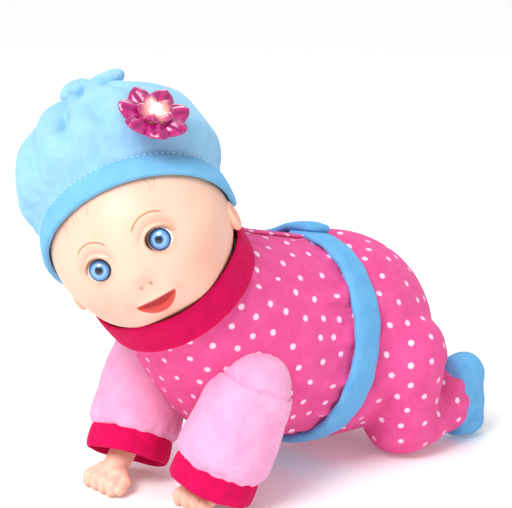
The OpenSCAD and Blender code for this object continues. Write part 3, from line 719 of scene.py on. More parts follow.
def finish_named(key):
    """Makes each material once, the first time that a piece asks for it."""
    if key not in FINISHES:
        colours, sizes = bpy.context.scene.doll_colours, bpy.context.scene.doll_sizes
        makers = {
            # Dotted velour: a short dense pile, so the ground looks deep and the folds look pale at their edges
            "dotted_velour": lambda: cloth_finish(
                "Polyester velour, printed dots", tuple(colours.velour), linear("#E04A8C"), 0.9, 0.35, 0.35,
                dots=tuple(colours.dots), dot_radius=sizes.dot_diameter / 2,
            ),
            # Plain velour of the sleeves: the same pile, undyed dots left out
            "pale_velour": lambda: cloth_finish(
                "Polyester velour, pale", tuple(colours.pale_velour), linear("#F09CC8"), 0.9, 0.35, 0.35
            ),
            # Rib jersey: loops drawn at 1.3 mm so that they show
            "crimson": lambda: cloth_finish(
                "Cotton jersey, crimson", tuple(colours.crimson), linear("#C4004C"), 0.6, 0.25, 0.12, knit_mm=1.3
            ),
            # Brushed jersey of the waist band and booties: soft, matt and evenly blue
            "sky_blue": lambda: cloth_finish(
                "Brushed cotton jersey, sky blue", tuple(colours.sky_blue), linear("#5CA6DC"), 0.7, 0.28, 0.3,
                knit_mm=1.3,
            ),
            # Fine jersey: smooth and pale, so the hat's folds carry its shading
            "hat": lambda: cloth_finish(
                "Fine cotton jersey, light blue", tuple(colours.hat), linear("#8CC4EA"), 0.6, 0.18, 0.25, knit_mm=1.0
            ),
            # Heavier jersey of the band: a deeper blue with plainer loops
            "hat_band": lambda: cloth_finish(
                "Cotton jersey band, turned up", tuple(colours.hat_band), linear("#6AB2E2"), 0.6, 0.22, 0.2, knit_mm=1.2
            ),
            # Polyester sewing thread: twisted, so it glints along its length
            "thread": lambda: cloth_finish(
                "Polyester thread, twisted", linear("#E8F6FF"), linear("#B8DCF2"), 0.3, 0.1, 0.2
            ),
            "skin": lambda: skin_finish(colours),
            "eye": lambda: eye_finish(colours),
            "petal": lambda: petal_finish(colours),
            "lamp": lamp_finish,
            # Polyester filling: a soft white mass with clumps
            "stuffing": lambda: cloth_finish(
                "Polyester filling, teased", linear("#F6F3EA"), linear("#DAD5C8"), 2.5, 0.8, 0.3
            ),
            # Moulded ABS: a warm off-white with a dull grain
            "case": lambda: wear_finish(
                "ABS, moulded with a spark-eroded grain", linear("#EDE6DC"), linear("#E2D9CC"), 0.48, 0.7, 0.25
            ),
            # Zinc plate: a bright and slightly clouded metal
            "steel": lambda: wear_finish(
                "Steel, bright zinc plate", linear("#C4C8CC"), linear("#A9AEB4"), 0.32, 1.4, 0.15, metallic=1.0
            ),
            # Shrink sleeve: smooth green film with a soft gloss
            "wrap": lambda: wear_finish(
                "Shrink sleeve on a steel can", linear("#3F7F4F"), linear("#356D44"), 0.28, 3.0, 0.1, coat=0.4
            ),
            # Solder mask: a glossy green skin
            "board": lambda: wear_finish(
                "Glass-epoxy board under solder mask", linear("#2F7A46"), linear("#256539"), 0.35, 0.8, 0.2, coat=0.3
            ),
            # Black ABS: dull, with almost no pattern
            "black": lambda: wear_finish(
                "ABS, moulded black", linear("#2B2D31"), linear("#232528"), 0.42, 0.6, 0.2
            ),
            # Acetal: waxy white with a low gloss
            "acetal": lambda: wear_finish(
                "Acetal, moulded gears", linear("#F4F1E8"), linear("#E9E4D6"), 0.38, 1.0, 0.12
            ),
            # Deep magenta ABS behind the petals: dark and glossy
            "flower_base": lambda: wear_finish(
                "ABS, moulded magenta", linear("#8E1258"), linear("#7A0C4A"), 0.25, 1.0, 0.1, coat=0.3
            ),
        }
        FINISHES[key] = makers[key]()
    return FINISHES[key]


def dressed(made, finish, body, nodes=()):
    """Gives a finished piece its material, attaches it to its body where one body is named, and hides the CAD nodes
    that it stands for; a piece given two bodies keeps its place in its mesh.
    """
    made.data.materials.clear()
    made.data.materials.append(finish_named(finish))
    if isinstance(body, str):
        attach(made, body)
    else:
        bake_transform(made)
    if nodes:
        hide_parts(*nodes)
    return made


# ---------- head ----------

EYE_SPREAD = 20.0
EYE_DEPTH = -42.6
EYE_HEIGHT = -9.0
EYE_RADIUS = 9.5
EYE_OPENING = (7.7, 7.2)
MOUTH_HALF_WIDTH = 12.5
MOUTH_LINE = -37.4
MOUTH_DEPTH = 6.6

# Soft forms of the face: (x, y, z) of the middle, reach and rise, in millimetres; a form off the middle is mirrored
FACE_FORMS = (
    ((31, -40, -27), 17, 3.8),  # cheek
    ((25, -33, -43), 17, 4.0),  # jowl
    ((0, -42, -47), 11, 3.0),  # chin
    ((0, -50, -46.5), 4.5, -1.0),  # hollow under the lip
    ((0, -56, -24.5), 5.6, 4.4),  # tip of the nose
    ((0, -57, -17), 7.0, 1.2),  # bridge of the nose
    ((4.8, -55, -27), 3.0, 1.7),  # side of the nose
    ((3.3, -58, -29.6), 1.5, -2.0),  # nostril
    ((15.5, -49, -36.0), 3.4, -1.6),  # dimple at the corner of the mouth
    ((20, -51, -8), 14, -1.6),  # eye socket
    ((21, -50, 5), 9, 0.8),  # brow
    ((0, -56, 14), 26, 1.4),  # forehead
    ((0, 10, -40), 30, -1.0),  # nape
)


def mirrored_forms():
    for (x, y, z), reach, rise in FACE_FORMS:
        for side in (-1, 1) if x else (1,):
            yield np.array((side * x, y, z), float), reach, rise


def mouth_shares(points):
    """How far each point is across the mouth, from -1 to 1, and how far down its open leaf shape, from 0 to 1."""
    across = points[:, 0] / MOUTH_HALF_WIDTH
    full = np.maximum(1 - across**2, 1e-3) ** 0.8
    line = MOUTH_LINE + 0.9 * across**2
    return across, (line - points[:, 2]) / (MOUTH_DEPTH * full), full


def sculpt_face(points):
    """Raises the soft forms, then opens the eyes and the mouth."""
    out = points / np.linalg.norm(points, axis=1, keepdims=True)
    shaped_points = out * HEAD_RADIUS
    rise = np.zeros(len(points))
    for middle, reach, height in mirrored_forms():
        rise += height * np.exp(-((shaped_points - middle) ** 2).sum(1) / reach**2)
    front = shaped_points[:, 1] < -20
    for side in (-1, 1):
        dx = (shaped_points[:, 0] - side * EYE_SPREAD) / EYE_OPENING[0]
        dz = (shaped_points[:, 2] - EYE_HEIGHT) / EYE_OPENING[1]
        ring = np.where(front, np.hypot(dx, dz), 9)
        upper = step(dz, -0.2, 0.7)
        lid = np.exp(-(((ring - 1.1) / 0.16) ** 2)) * (0.7 + 0.8 * upper)
        crease = np.exp(-(((ring - 1.42) / 0.08) ** 2)) * 0.5 * upper
        rise += np.where(ring > 1.0, lid - crease, 0)
        rise = np.where(ring <= 1.0, -6.0, rise)
    across, down, full = mouth_shares(shaped_points)
    inside = front & (np.abs(across) < 1)
    hollow = step(down, 0.0, 0.12) * (1 - step(down, 0.42, 0.62)) * full
    lower_lip = np.exp(-(((down - 0.82) / 0.3) ** 2)) * full
    upper_lip = np.exp(-(((down + 0.16) / 0.22) ** 2)) * full
    rise += np.where(inside, lower_lip * 1.3 + upper_lip * 0.8 - hollow * 2.2, 0)
    return shaped_points + out * rise[:, None]


def paint_face(made, flat):
    """Blush, lips, brows, lashes, a few strands of hair, and painted shade at the mouth's corners, in the nostrils and
    behind the eyes, as masks from the unshaped face's own sizes.
    """
    x, y, z = flat.T
    wide = np.abs(x)
    front = y < -15
    blush_and_shade = 0.34 * np.exp(-((wide - 31) ** 2 / 190 + (z + 27) ** 2 / 170))
    blush_and_shade += 0.22 * np.exp(-(x**2 / 90 + (z + 48) ** 2 / 60))
    blush_and_shade += 0.25 * np.exp(-(x**2 / 22 + (z + 26) ** 2 / 16))
    around_eye = np.hypot((wide - EYE_SPREAD) / 11.0, (z - EYE_HEIGHT - 1.5) / 10.5)
    blush_and_shade += 0.34 * np.exp(-(((around_eye - 1.0) / 0.22) ** 2)) * step(z, -12, -2)
    blush_and_shade += 0.14 * step(z, 12, 30)
    # Painted shade in the dimples at the corners of the mouth
    blush_and_shade += 0.22 * np.exp(-((wide - 15) ** 2 / 8 + (z + 36) ** 2 / 8))
    store(made, "blush_and_shade", np.where(front, blush_and_shade, 0.1))
    across, down, full = mouth_shares(flat)
    edge = 0.09 / np.maximum(full, 0.1)
    lip = step(down, -0.1 - edge, -0.02) * (1 - step(down, 0.94, 1.02 + edge)) * (1 - step(np.abs(across), 0.94, 1.0))
    store(made, "lip", np.where(front, lip * 0.95, 0))
    dark = np.exp(-(((down - 0.3) / 0.2) ** 2)) * (1 - step(np.abs(across), 0.55, 0.95)) * 0.75
    store(made, "mouth", np.where(front, dark * lip, 0))
    brow_angle = np.arctan2(z + 4.5, wide - 19.5)
    brow_ring = np.abs(np.hypot((wide - 19.5) / 1.05, z + 4.5) - 12.2)
    brow = (1 - step(brow_ring, 0.25, 0.75)) * step(brow_angle, 0.62, 1.1) * (1 - step(brow_angle, 2.45, 2.75)) * 0.8
    lid_angle = np.arctan2(z - EYE_HEIGHT, wide - EYE_SPREAD)
    lid_ring = np.hypot((wide - EYE_SPREAD) / EYE_OPENING[0], (z - EYE_HEIGHT) / EYE_OPENING[1])
    liner = np.exp(-(((lid_ring - 1.06) / 0.07) ** 2)) * (0.25 + 0.5 * step(z, EYE_HEIGHT - 1, EYE_HEIGHT + 4))
    lashes = np.zeros(len(x))
    for angle, length in ((0.30, 0.42), (0.52, 0.44), (0.74, 0.40), (0.98, 0.32), (1.25, 0.24)):
        along = (lid_ring - 1.0) / length
        off = np.abs(lid_angle - angle + 0.25 * along) * EYE_OPENING[0] * lid_ring
        lashes = np.maximum(lashes, (1 - step(off, 0.2, 0.55)) * (along > 0) * (1 - step(along, 0.6, 1.0)) * 0.6)
    strands = np.zeros(len(x))
    for root, lean in ((-30, -0.12), (-26, 0.1), (-21, -0.05), (-17, 0.18), (-9, 0.05), (26, -0.1), (31, 0.08)):
        off = np.abs(x - root - lean * (z - 30) - 0.9 * np.sin((z - 20) * 0.35 + root))
        low = 21 - 0.14 * abs(root)
        strands = np.maximum(strands, (1 - step(off, 0.15, 0.6)) * step(z, low, low + 3) * 0.35)
    store(made, "brow", np.where(front, np.maximum.reduce([brow, liner, lashes, strands]), 0))
    # Painted shade: a dark spot in each nostril and dark skin inside each eye's opening, behind the eye
    nostril = np.exp(-(((wide - 3.2) ** 2 + (z + 28.6) ** 2) / 1.1))
    socket = np.where(lid_ring < 1.0, 1.0, 0.0)
    store(made, "hollow", np.where(front, np.maximum(nostril * 0.75, socket), 0))


class DOLL_OT_head(bpy.types.Operator):
    """Sculpts the vinyl head with its ears and paints its face"""

    bl_idname = "doll.head"
    bl_label = "Head"

    def execute(self, context):
        bm = bmesh.new()
        bmesh.ops.create_cube(bm, size=2)
        bmesh.ops.subdivide_edges(bm, edges=bm.edges, cuts=63, use_grid_fill=True)

        def round_off(points):
            # Evens out the cube's cells before they go onto the ball
            even = np.tan(points * math.pi / 4)
            return even / np.linalg.norm(even, axis=1, keepdims=True) * HEAD_RADIUS

        shaped(bm, round_off)
        face = [
            edge
            for edge in bm.edges
            if all(v.co.y < -24 and abs(v.co.x) < 36 and -52 < v.co.z < 26 for v in edge.verts)
        ]
        bmesh.ops.subdivide_edges(bm, edges=face, cuts=1, use_grid_fill=True)
        shaped(bm, lambda p: p / np.linalg.norm(p, axis=1, keepdims=True) * HEAD_RADIUS)
        fine = [
            edge
            for edge in bm.edges
            if all(
                v.co.y < -24
                and (
                    (abs(abs(v.co.x) - EYE_SPREAD) < 13 and -20 < v.co.z < 10)
                    or (abs(v.co.x) < 15 and -46 < v.co.z < -31)
                )
                for v in edge.verts
            )
        ]
        bmesh.ops.subdivide_edges(bm, edges=fine, cuts=1, use_grid_fill=True)
        bmesh.ops.triangulate(bm, faces=[f for f in bm.faces if len(f.verts) > 4])
        flat = np.array([v.co for v in bm.verts])
        flat = flat / np.linalg.norm(flat, axis=1, keepdims=True) * HEAD_RADIUS
        shaped(bm, sculpt_face)
        bmesh.ops.recalc_face_normals(bm, faces=bm.faces)
        head = as_object(bm, "vinyl_head", HEAD)
        paint_face(head, flat)
        dressed(head, "skin", "head", ["head_shell"])

        bm = bmesh.new()
        for side in (-1, 1):
            ball(bm, (side * 54.5, 4, -15), 1, (4.2, 7.0, 10.0), 4)
        ears = as_object(bm, "vinyl_ears", HEAD)
        points = transformed(own_points(ears), HEAD.inverted())
        bowl = np.exp(-(((points[:, 1] - 3) / 3.6) ** 2 + ((points[:, 2] + 14) / 5.5) ** 2))
        points[:, 0] -= np.sign(points[:, 0]) * bowl * 3.0
        set_own_points(ears, transformed(points, HEAD))
        # Blush all over the ear, and more in its bowl, where it is painted shade
        store(ears, "blush_and_shade", 0.25 + 0.35 * bowl)
        for mask in ("lip", "mouth", "brow", "hollow"):
            store(ears, mask, np.zeros(len(points)))
        dressed(ears, "skin", "head")
        return {"FINISHED"}


class DOLL_OT_eyes(bpy.types.Operator):
    """Sets the two domed eyes in the head"""

    bl_idname = "doll.eyes"
    bl_label = "Eyes"

    def execute(self, context):
        for name, side in SIDES.items():
            bm = bmesh.new()
            bmesh.ops.create_uvsphere(
                bm, u_segments=72, v_segments=64, radius=EYE_RADIUS, matrix=Matrix.Rotation(math.pi / 2, 4, "X")
            )
            spots = np.array([v.co for v in bm.verts])
            across = np.hypot(spots[:, 0], spots[:, 2])
            polar = np.column_stack(
                [spots[:, 0] / np.maximum(across, 1e-6), spots[:, 2] / np.maximum(across, 1e-6), across]
            )
            polar[spots[:, 1] > 0, 2] = EYE_RADIUS
            cornea = np.exp(-((across / 5.0) ** 2)) * (spots[:, 1] < 0) * 0.5
            shaped(bm, lambda p, lift=cornea: p - np.column_stack([0 * lift, lift, 0 * lift]))
            place = HEAD @ Matrix.Translation((side * EYE_SPREAD, EYE_DEPTH, EYE_HEIGHT))
            eye = as_object(bm, f"{name}_domed_eye", place)
            store(eye, "iris_polar", polar, "FLOAT_VECTOR")
            dressed(eye, "eye", "head", [f"{name}_eye"])
        return {"FINISHED"}


# ---------- hat ----------

BAND_HEIGHT = 17.0
BAND_LOW = -4.0
CROWN_LEAN = math.radians(12)
COLLAR_CLEARANCE = -18.0
# Distance of the crown from the head's middle, by the angle from the crown's top, in degrees
CROWN_REACH = (
    (0, 95), (12, 96), (24, 94), (36, 90.5), (48, 83), (60, 75), (72, 68), (84, 63), (96, 60.5), (150, 59),
)


def hat_direction(around, rise):
    """Unit direction in the hat's frame, by the angle round it (0 at the face) and the angle above its edge plane."""
    return np.column_stack([np.cos(rise) * np.sin(around), -np.cos(rise) * np.cos(around), np.sin(rise)])


def edge_rise(around):
    """Angle of the hat's lower edge: level round the face, and lifted at the back to stay clear of the collar."""
    neck = np.array((HAT.inverted().to_3x3() @ NECK_AXIS)[:])
    level = np.full(len(around), math.asin(BAND_LOW / 60))
    need = level.copy()
    for _ in range(60):
        low = hat_direction(around, need) @ neck * 60 < COLLAR_CLEARANCE
        need = np.where(low, need + 0.02, need)
    soft = 0.12
    return level + np.logaddexp(0, (need - level) / soft - 1.0) * soft


def crown_points(around, share):
    """The crown's cloth: from under the band to the gathered knot, with its folds."""
    low = edge_rise(around) + (BAND_HEIGHT - 5) / 60
    top = HAT.inverted().to_3x3() @ HEAD.to_3x3() @ Vector((0.06, math.sin(CROWN_LEAN), math.cos(CROWN_LEAN)))
    top = np.array(top.normalized()[:])
    start = hat_direction(around, low)
    angle = np.arccos(np.clip(start @ top, -1, 1))
    t = share[:, None]
    direction = (
        np.sin((1 - t) * angle[:, None]) * start + np.sin(t * angle[:, None]) * top
    ) / np.sin(angle)[:, None]
    off_top = np.degrees((1 - share) * angle)
    reach = smooth_path(CROWN_REACH, off_top)[:, 0]
    reach = 59.4 + (reach - 59.4) * step(share, 0.03, 0.3)
    gather = np.exp(-((off_top / 36) ** 2))
    wander = 0.9 * np.sin(off_top * 0.06 + 1.3) + 0.4 * np.sin(2 * around + 0.7)
    folds = np.cos(11 * around + wander * 2.2)
    broad = np.cos(5 * around + wander + 0.6)
    reach = reach - 6.0 * gather * (0.5 - 0.5 * folds) ** 0.8
    reach -= 4.2 * (0.5 + 0.5 * broad) * np.exp(-(((off_top - 38) / 20) ** 2)) * step(share, 0.05, 0.3)
    return direction, reach, off_top


# Deep hollows between the gathers: direction in the head's frame, reach along and across, depth, in millimetres
CROWN_HOLLOWS = (
    ((-5, -22, 86), (17, 7), 15),
    ((-28, -24, 76), (22, 8), 15),
    ((18, -30, 78), (16, 5), 7),
    ((-62, 6, 48), (18, 7), 8),
    ((46, -32, 57), (25, 25), 5),
    ((34, 42, 62), (15, 9), 8),
    ((-16, 58, 58), (16, 8), 8),
)


class DOLL_OT_hat(bpy.types.Operator):
    """Sews the gathered hat: crown, knot, turned-up band and topstitching"""

    bl_idname = "doll.hat"
    bl_label = "Hat"

    def execute(self, context):
        sizes = context.scene.doll_sizes
        to_head = HEAD.inverted().to_3x3() @ HAT.to_3x3()
        turn = np.array(to_head)

        def crown(points):
            around = np.arctan2(points[:, 0], -points[:, 1])
            direction, reach, off_top = crown_points(around, points[:, 2])
            in_head = direction @ turn.T
            for middle, (along, wide), depth in CROWN_HOLLOWS:
                middle = np.array(middle, float)
                gap = in_head * reach[:, None] - middle
                up = np.array((0, 0.2, 0.98)) - in_head * (in_head @ np.array((0, 0.2, 0.98)))[:, None]
                up /= np.maximum(np.linalg.norm(up, axis=1, keepdims=True), 1e-6)
                rise = (gap * up).sum(1)
                side = np.sqrt(np.maximum((gap**2).sum(1) - rise**2, 0))
                reach = reach - depth * np.exp(-((rise / along) ** 2) - (side / wide) ** 2)
            bumpy = lumps(in_head * 60, 14, 3)
            reach = reach + 0.8 * bumpy * step(off_top, 5, 30)
            return in_head * reach[:, None]

        bm = shaped(tube(180, 90), crown)
        bmesh.ops.remove_doubles(bm, verts=bm.verts, dist=1e-3)
        bmesh.ops.recalc_face_normals(bm, faces=bm.faces)
        hat = as_object(bm, "gathered_hat_crown", HEAD)
        inward = transformed(own_points(hat), HEAD.inverted())
        pins = np.clip(1.2 - np.abs(np.linalg.norm(inward, axis=1) - 60) / 6, 0, 1)
        pins = np.maximum(pins, 1 - step(np.linalg.norm(inward[:, :2] - (5, 18), axis=1), 8, 22))
        pulled_folds(hat, pins, 0.03, 3.0, 5, frames=14, pressure=0.5)
        thickened(hat, 1.1)
        dressed(hat, "hat", "head", ["hat_crown"])

        # The band is a doubled strip: (height up the band, rise off the head) round its folded section
        half = BAND_HEIGHT / 2
        section = []
        for k in range(28):
            turn_angle = math.tau * k / 28
            section.append(
                (
                    half + half * math.copysign(abs(math.cos(turn_angle)) ** 0.45, math.cos(turn_angle)),
                    3.2 + 2.3 * math.copysign(abs(math.sin(turn_angle)) ** 0.6, math.sin(turn_angle)),
                )
            )
        section = np.array(section + section[:1])

        def band(points):
            around = np.arctan2(points[:, 0], -points[:, 1])
            k = np.clip(np.round(points[:, 2] * 28).astype(int), 0, 28)
            height, off = section[k].T
            waver = 0.5 * np.sin(9 * around + 1) + 0.35 * np.sin(17 * around)
            low = edge_rise(around)
            direction = hat_direction(around, low + height / 60)
            return (direction @ turn.T) * (HEAD_RADIUS + off + 0.35 * waver * (height / BAND_HEIGHT))[:, None]

        bm = shaped(tube(240, 28), band)
        bmesh.ops.remove_doubles(bm, verts=bm.verts, dist=1e-3)
        bmesh.ops.recalc_face_normals(bm, faces=bm.faces)
        band_made = as_object(bm, "hat_turned_up_band", HEAD)
        dressed(band_made, "hat_band", "head", ["hat_band"])

        bm = bmesh.new()
        count = int(math.tau * 60 / (sizes.stitch * 1.55))
        angles = np.linspace(0, math.tau, count, endpoint=False)
        rise = edge_rise(angles) + (BAND_HEIGHT - 1.6) / 60
        spots = (hat_direction(angles, rise) @ turn.T) * (HEAD_RADIUS + 5.35)
        ahead = np.roll(spots, -1, axis=0) - spots
        for spot, way in zip(spots, ahead):
            lie = Vector(way).to_track_quat("X", "Z").to_matrix().to_4x4()
            place = Matrix.Translation(spot) @ lie @ Matrix.Diagonal((sizes.stitch / 2, 0.36, 0.36, 1))
            bmesh.ops.create_icosphere(bm, subdivisions=1, radius=1, matrix=place)
        stitches = as_object(bm, "hat_topstitching", HEAD)
        dressed(stitches, "thread", "head")

        bm = bmesh.new()
        knot = Vector((0.06, math.sin(CROWN_LEAN), math.cos(CROWN_LEAN))) * 90
        ball(bm, knot + Vector((-2, 0, 2)), 1, (12, 11, 9))
        ball(bm, knot + Vector((-4, -3, 9)), 1, (11, 9, 6.5))
        ball(bm, knot + Vector((14, -4, 5)), 1, (14, 9, 6.5))
        ball(bm, knot + Vector((4, 9, 6)), 1, (10, 8, 6))
        tuft = remeshed(as_object(bm, "hat_gathered_knot", HEAD), 0.9, 6)
        points = transformed(own_points(tuft), HEAD.inverted())
        spread = points - np.array(knot)
        pleats = np.sin(np.arctan2(spread[:, 1], spread[:, 0]) * 13 + spread[:, 2] * 0.25)
        set_own_points(tuft, transformed(points + spread * (0.05 * pleats)[:, None], HEAD))
        dressed(tuft, "hat", "head", ["hat_tuft"])
        return {"FINISHED"}


# ---------- flower ----------


def flower_frame():
    """The flower's frame: its middle on the hat, with Z away from the head."""
    at = (box_middle("flower_base") + box_middle("flower_lens")) / 2
    out = (at - joint_place("neck_turn")).normalized()
    # The crown slopes towards the face there, so the flower leans forward off the head's own radius
    out = (out + HEAD.to_3x3() @ Vector((0.28, -0.36, -0.1))).normalized()
    return Matrix.Translation(at) @ out.to_track_quat("Z", "Y").to_matrix().to_4x4()


class DOLL_OT_flower(bpy.types.Operator):
    """Moulds the translucent petals round the lit lamp"""

    bl_idname = "doll.flower"
    bl_label = "Flower"

    def execute(self, context):
        sizes = context.scene.doll_sizes
        place = flower_frame()
        bm = bmesh.new()
        ridge_shading_values = []
        # Rings of petals: count, distance out, half length, half width, height, lift of the tip
        for count, out, long, wide, low, lift in (
            (sizes.petals, 12.6, 9.4, 8.4, 1.0, 2.2),
            (5, 6.0, 5.8, 5.0, 4.2, 2.4),
        ):
            for k in range(count):
                petal = bmesh.new()
                bmesh.ops.create_uvsphere(petal, u_segments=40, v_segments=24, radius=1)

                def curl(points, long=long, wide=wide, lift=lift, out=out, low=low):
                    x, y, z = points.T
                    groove = np.cos(y * math.pi * 3) * (1 - y**2) * np.clip(1.1 - 0.5 * x, 0, 1)
                    # Painted shade for the grooves: 0 deep in a groove, 1 on a ridge
                    ridge_shading_values.extend(0.5 + 0.5 * np.clip(groove, -1, 1))
                    tip = np.clip((x + 1) / 2, 0, 1)
                    px = out + long * x
                    py = wide * y * (0.62 + 0.38 * np.sin(tip * 2.4))
                    pz = low + 2.6 * z + lift * tip**1.6 - 2.4 * y**2 + 0.55 * groove * (z > 0)
                    return np.column_stack([px, py, pz])

                shaped(petal, curl)
                petal.transform(Matrix.Rotation(math.tau * (k + 0.3 * (count == 5)) / count, 4, "Z"))
                mesh = bpy.data.meshes.new("petal")
                petal.to_mesh(mesh)
                petal.free()
                bm.from_mesh(mesh)
                bpy.data.meshes.remove(mesh)
        spots = np.array([v.co for v in bm.verts])
        petals = as_object(bm, "flower_petals", place)
        # Distance from the lamp, which sets the petals' painted glow
        store(petals, "lamp_mm", np.linalg.norm(spots - (0, 0, 6), axis=1))
        # Painted groove shade for the petals' colour
        store(petals, "ridge_shading", ridge_shading_values)
        dressed(petals, "petal", "head", ["flower_lens"])

        dome = lathe([(0, 9.6), (1.4, 9.4), (2.6, 8.6), (3.2, 7.2), (3.3, 5), (3.3, 2), (0, 2)], 32)
        lamp = as_object(dome, "flower_lamp", place)
        subdivided(lamp, 1)
        dressed(lamp, "lamp", "head", ["flower_led"])
        return {"FINISHED"}


# ---------- jacket, collar and band ----------


def trunk_point(up, along):
    """(y, z) in the middle plane, millimetres, of a point given by its height over the trunk's axis and its place."""
    point = TRUNK @ Vector((0, along, up))
    return point.y, point.z


def neck_point(out, rise):
    """(y, z) in the middle plane of a point given from the head's middle: out to the back, and up the neck's axis."""
    point = NECK @ Vector((0, out, rise))
    return point.y, point.z


COLLAR_SEAM = -43.5


def chest_points(around, share):
    """The chest from the waist to the collar seam; around is 0 at the spine."""
    spine = smooth_path(
        [
            (0, *trunk_point(WAIST_RADIUS, -4)),
            (0.38, *trunk_point(WAIST_RADIUS + 1.6, -36)),
            (0.72, *trunk_point(WAIST_RADIUS + 2.9, -60)),
            (1, *neck_point(48, COLLAR_SEAM)),
        ],
        share,
    )
    belly = smooth_path(
        [
            (0, *trunk_point(-WAIST_RADIUS, -4)),
            (0.38, *trunk_point(-67, -45)),
            (0.72, *trunk_point(-59, -84)),
            (1, *neck_point(-48, COLLAR_SEAM)),
        ],
        share,
    )
    half_width = smooth_path([(0, 67), (0.38, 66), (0.72, 59), (1, 48)], share)[:, 0]
    middle, reach = (spine + belly) / 2, (spine - belly) / 2
    return np.column_stack(
        [
            half_width * np.sin(around),
            middle[:, 0] + reach[:, 0] * np.cos(around),
            middle[:, 1] + reach[:, 1] * np.cos(around),
        ]
    )


class DOLL_OT_jacket(bpy.types.Operator):
    """Sews the dotted jacket with its back opening"""

    bl_idname = "doll.jacket"
    bl_label = "Jacket"

    def execute(self, context):
        sizes = context.scene.doll_sizes
        bm = tube(168, 76)
        shares = np.array([v.co.z for v in bm.verts])
        around = np.array([math.atan2(v.co.y, v.co.x) for v in bm.verts])
        shaped(bm, lambda p: chest_points(around, shares))
        bmesh.ops.recalc_face_normals(bm, faces=bm.faces)
        jacket = as_object(bm, "dotted_jacket")
        store(jacket, "rest", read_points(jacket.data), "FLOAT_VECTOR")
        points, normals = read_points(jacket.data), point_normals(jacket.data)
        near_collar = np.exp(-(((1 - shares) / 0.16) ** 2)) * (1 - np.exp(-(((1 - shares) / 0.06) ** 2)))
        near_waist = np.exp(-((shares / 0.14) ** 2))
        wander = 1.3 * np.sin(3 * around + 0.4) + 0.8 * np.sin(5 * around + 2)
        gathers = near_collar * np.cos(21 * around + wander) + 0.6 * near_waist * np.cos(17 * around + 2 * wander)
        gathers += 0.35 * np.cos(9 * around + 7 * shares + wander)
        points += normals * (gathers * sizes.fold_depth * MM)[:, None]
        write_points(jacket.data, points)
        pins = np.clip(np.maximum(1 - shares / 0.05, 1 - (1 - shares) / 0.03), 0, 1)
        pulled_folds(jacket, pins, 0.05, 4.0, 1, frames=20, pressure=0.9)
        eased_off(jacket, "body_padding", 1.2)
        subdivided(jacket)
        print_dots(jacket, stored(jacket, "rest", "FLOAT_VECTOR"), sizes.dot_pitch)
        dressed(jacket, "dotted_velour", "torso", ["jacket"])
        self.placket(context, jacket)
        return {"FINISHED"}

    def placket(self, context, jacket):
        """Two overlapping facings of the back opening, laid on the jacket's spine."""
        sizes = context.scene.doll_sizes
        tree = BVHTree.FromObject(jacket, context.evaluated_depsgraph_get())
        bm = bmesh.new()
        bmesh.ops.create_grid(bm, x_segments=16, y_segments=46, size=1)

        def lay(points):
            laid = []
            for x, y, _ in points:
                start = TRUNK @ Vector((x * 8.4, -38.5 + 27.5 * y, 120))
                hit = tree.ray_cast(world(start), -TRUNK_UP)[0] / MM - ORIGIN
                lap = 1.1 * float(step(np.array([x]), -0.1, 0.05)[0])
                edge = 0.5 * math.cos(x * math.pi * 3) * (abs(x) < 0.95)
                laid.append(hit + TRUNK_UP * (0.9 + lap + 0.2 * edge))
            return np.array(laid)

        shaped(bm, lay)
        placket = as_object(bm, "back_placket")
        if point_normals(placket.data)[:, 2].mean() < 0:
            placket.data.flip_normals()
        thickened(placket, 1.6)
        subdivided(placket)
        print_dots(placket, read_points(placket.data), sizes.dot_pitch)
        dressed(placket, "dotted_velour", "torso", ["jacket_placket"])


class DOLL_OT_collar(bpy.types.Operator):
    """Turns the crimson stand collar"""

    bl_idname = "doll.collar"
    bl_label = "Collar"

    def execute(self, context):
        # Section of the doubled collar, (radius, place along the neck's axis): up the outside, over and down inside
        section = [
            (49.4, -51.5), (51.0, -51.4), (51.8, -50.0), (52.0, -46.0), (52.1, -42.0), (52.3, -38.0), (52.6, -34.0),
            (52.8, -30.5), (52.7, -28.4), (51.8, -27.4), (50.6, -28.2), (49.9, -30.5), (49.3, -34.0),
            (48.6, -38.0), (47.6, -42.0), (47.4, -47.0), (49.4, -51.5),
        ]
        bm = lathe(section, 200)

        def soften(points):
            around = np.arctan2(points[:, 0], points[:, 1])
            radius = np.hypot(points[:, 0], points[:, 1])
            height = (points[:, 2] + 51.5) / 24
            ripple = 0.55 * np.cos(13 * around + 1.2 * np.sin(3 * around)) + 0.4 * np.cos(7 * around + 2)
            radius = radius + 0.7 * ripple * np.sin(np.clip(height, 0, 1) * math.pi)
            lift = 0.5 * np.sin(5 * around + 1) * height
            return np.column_stack([radius * np.sin(around), radius * np.cos(around), points[:, 2] + lift])

        shaped(bm, soften)
        bmesh.ops.recalc_face_normals(bm, faces=bm.faces)
        collar = subdivided(as_object(bm, "stand_collar", NECK))
        dressed(collar, "crimson", "torso", ["jacket_collar"])
        return {"FINISHED"}


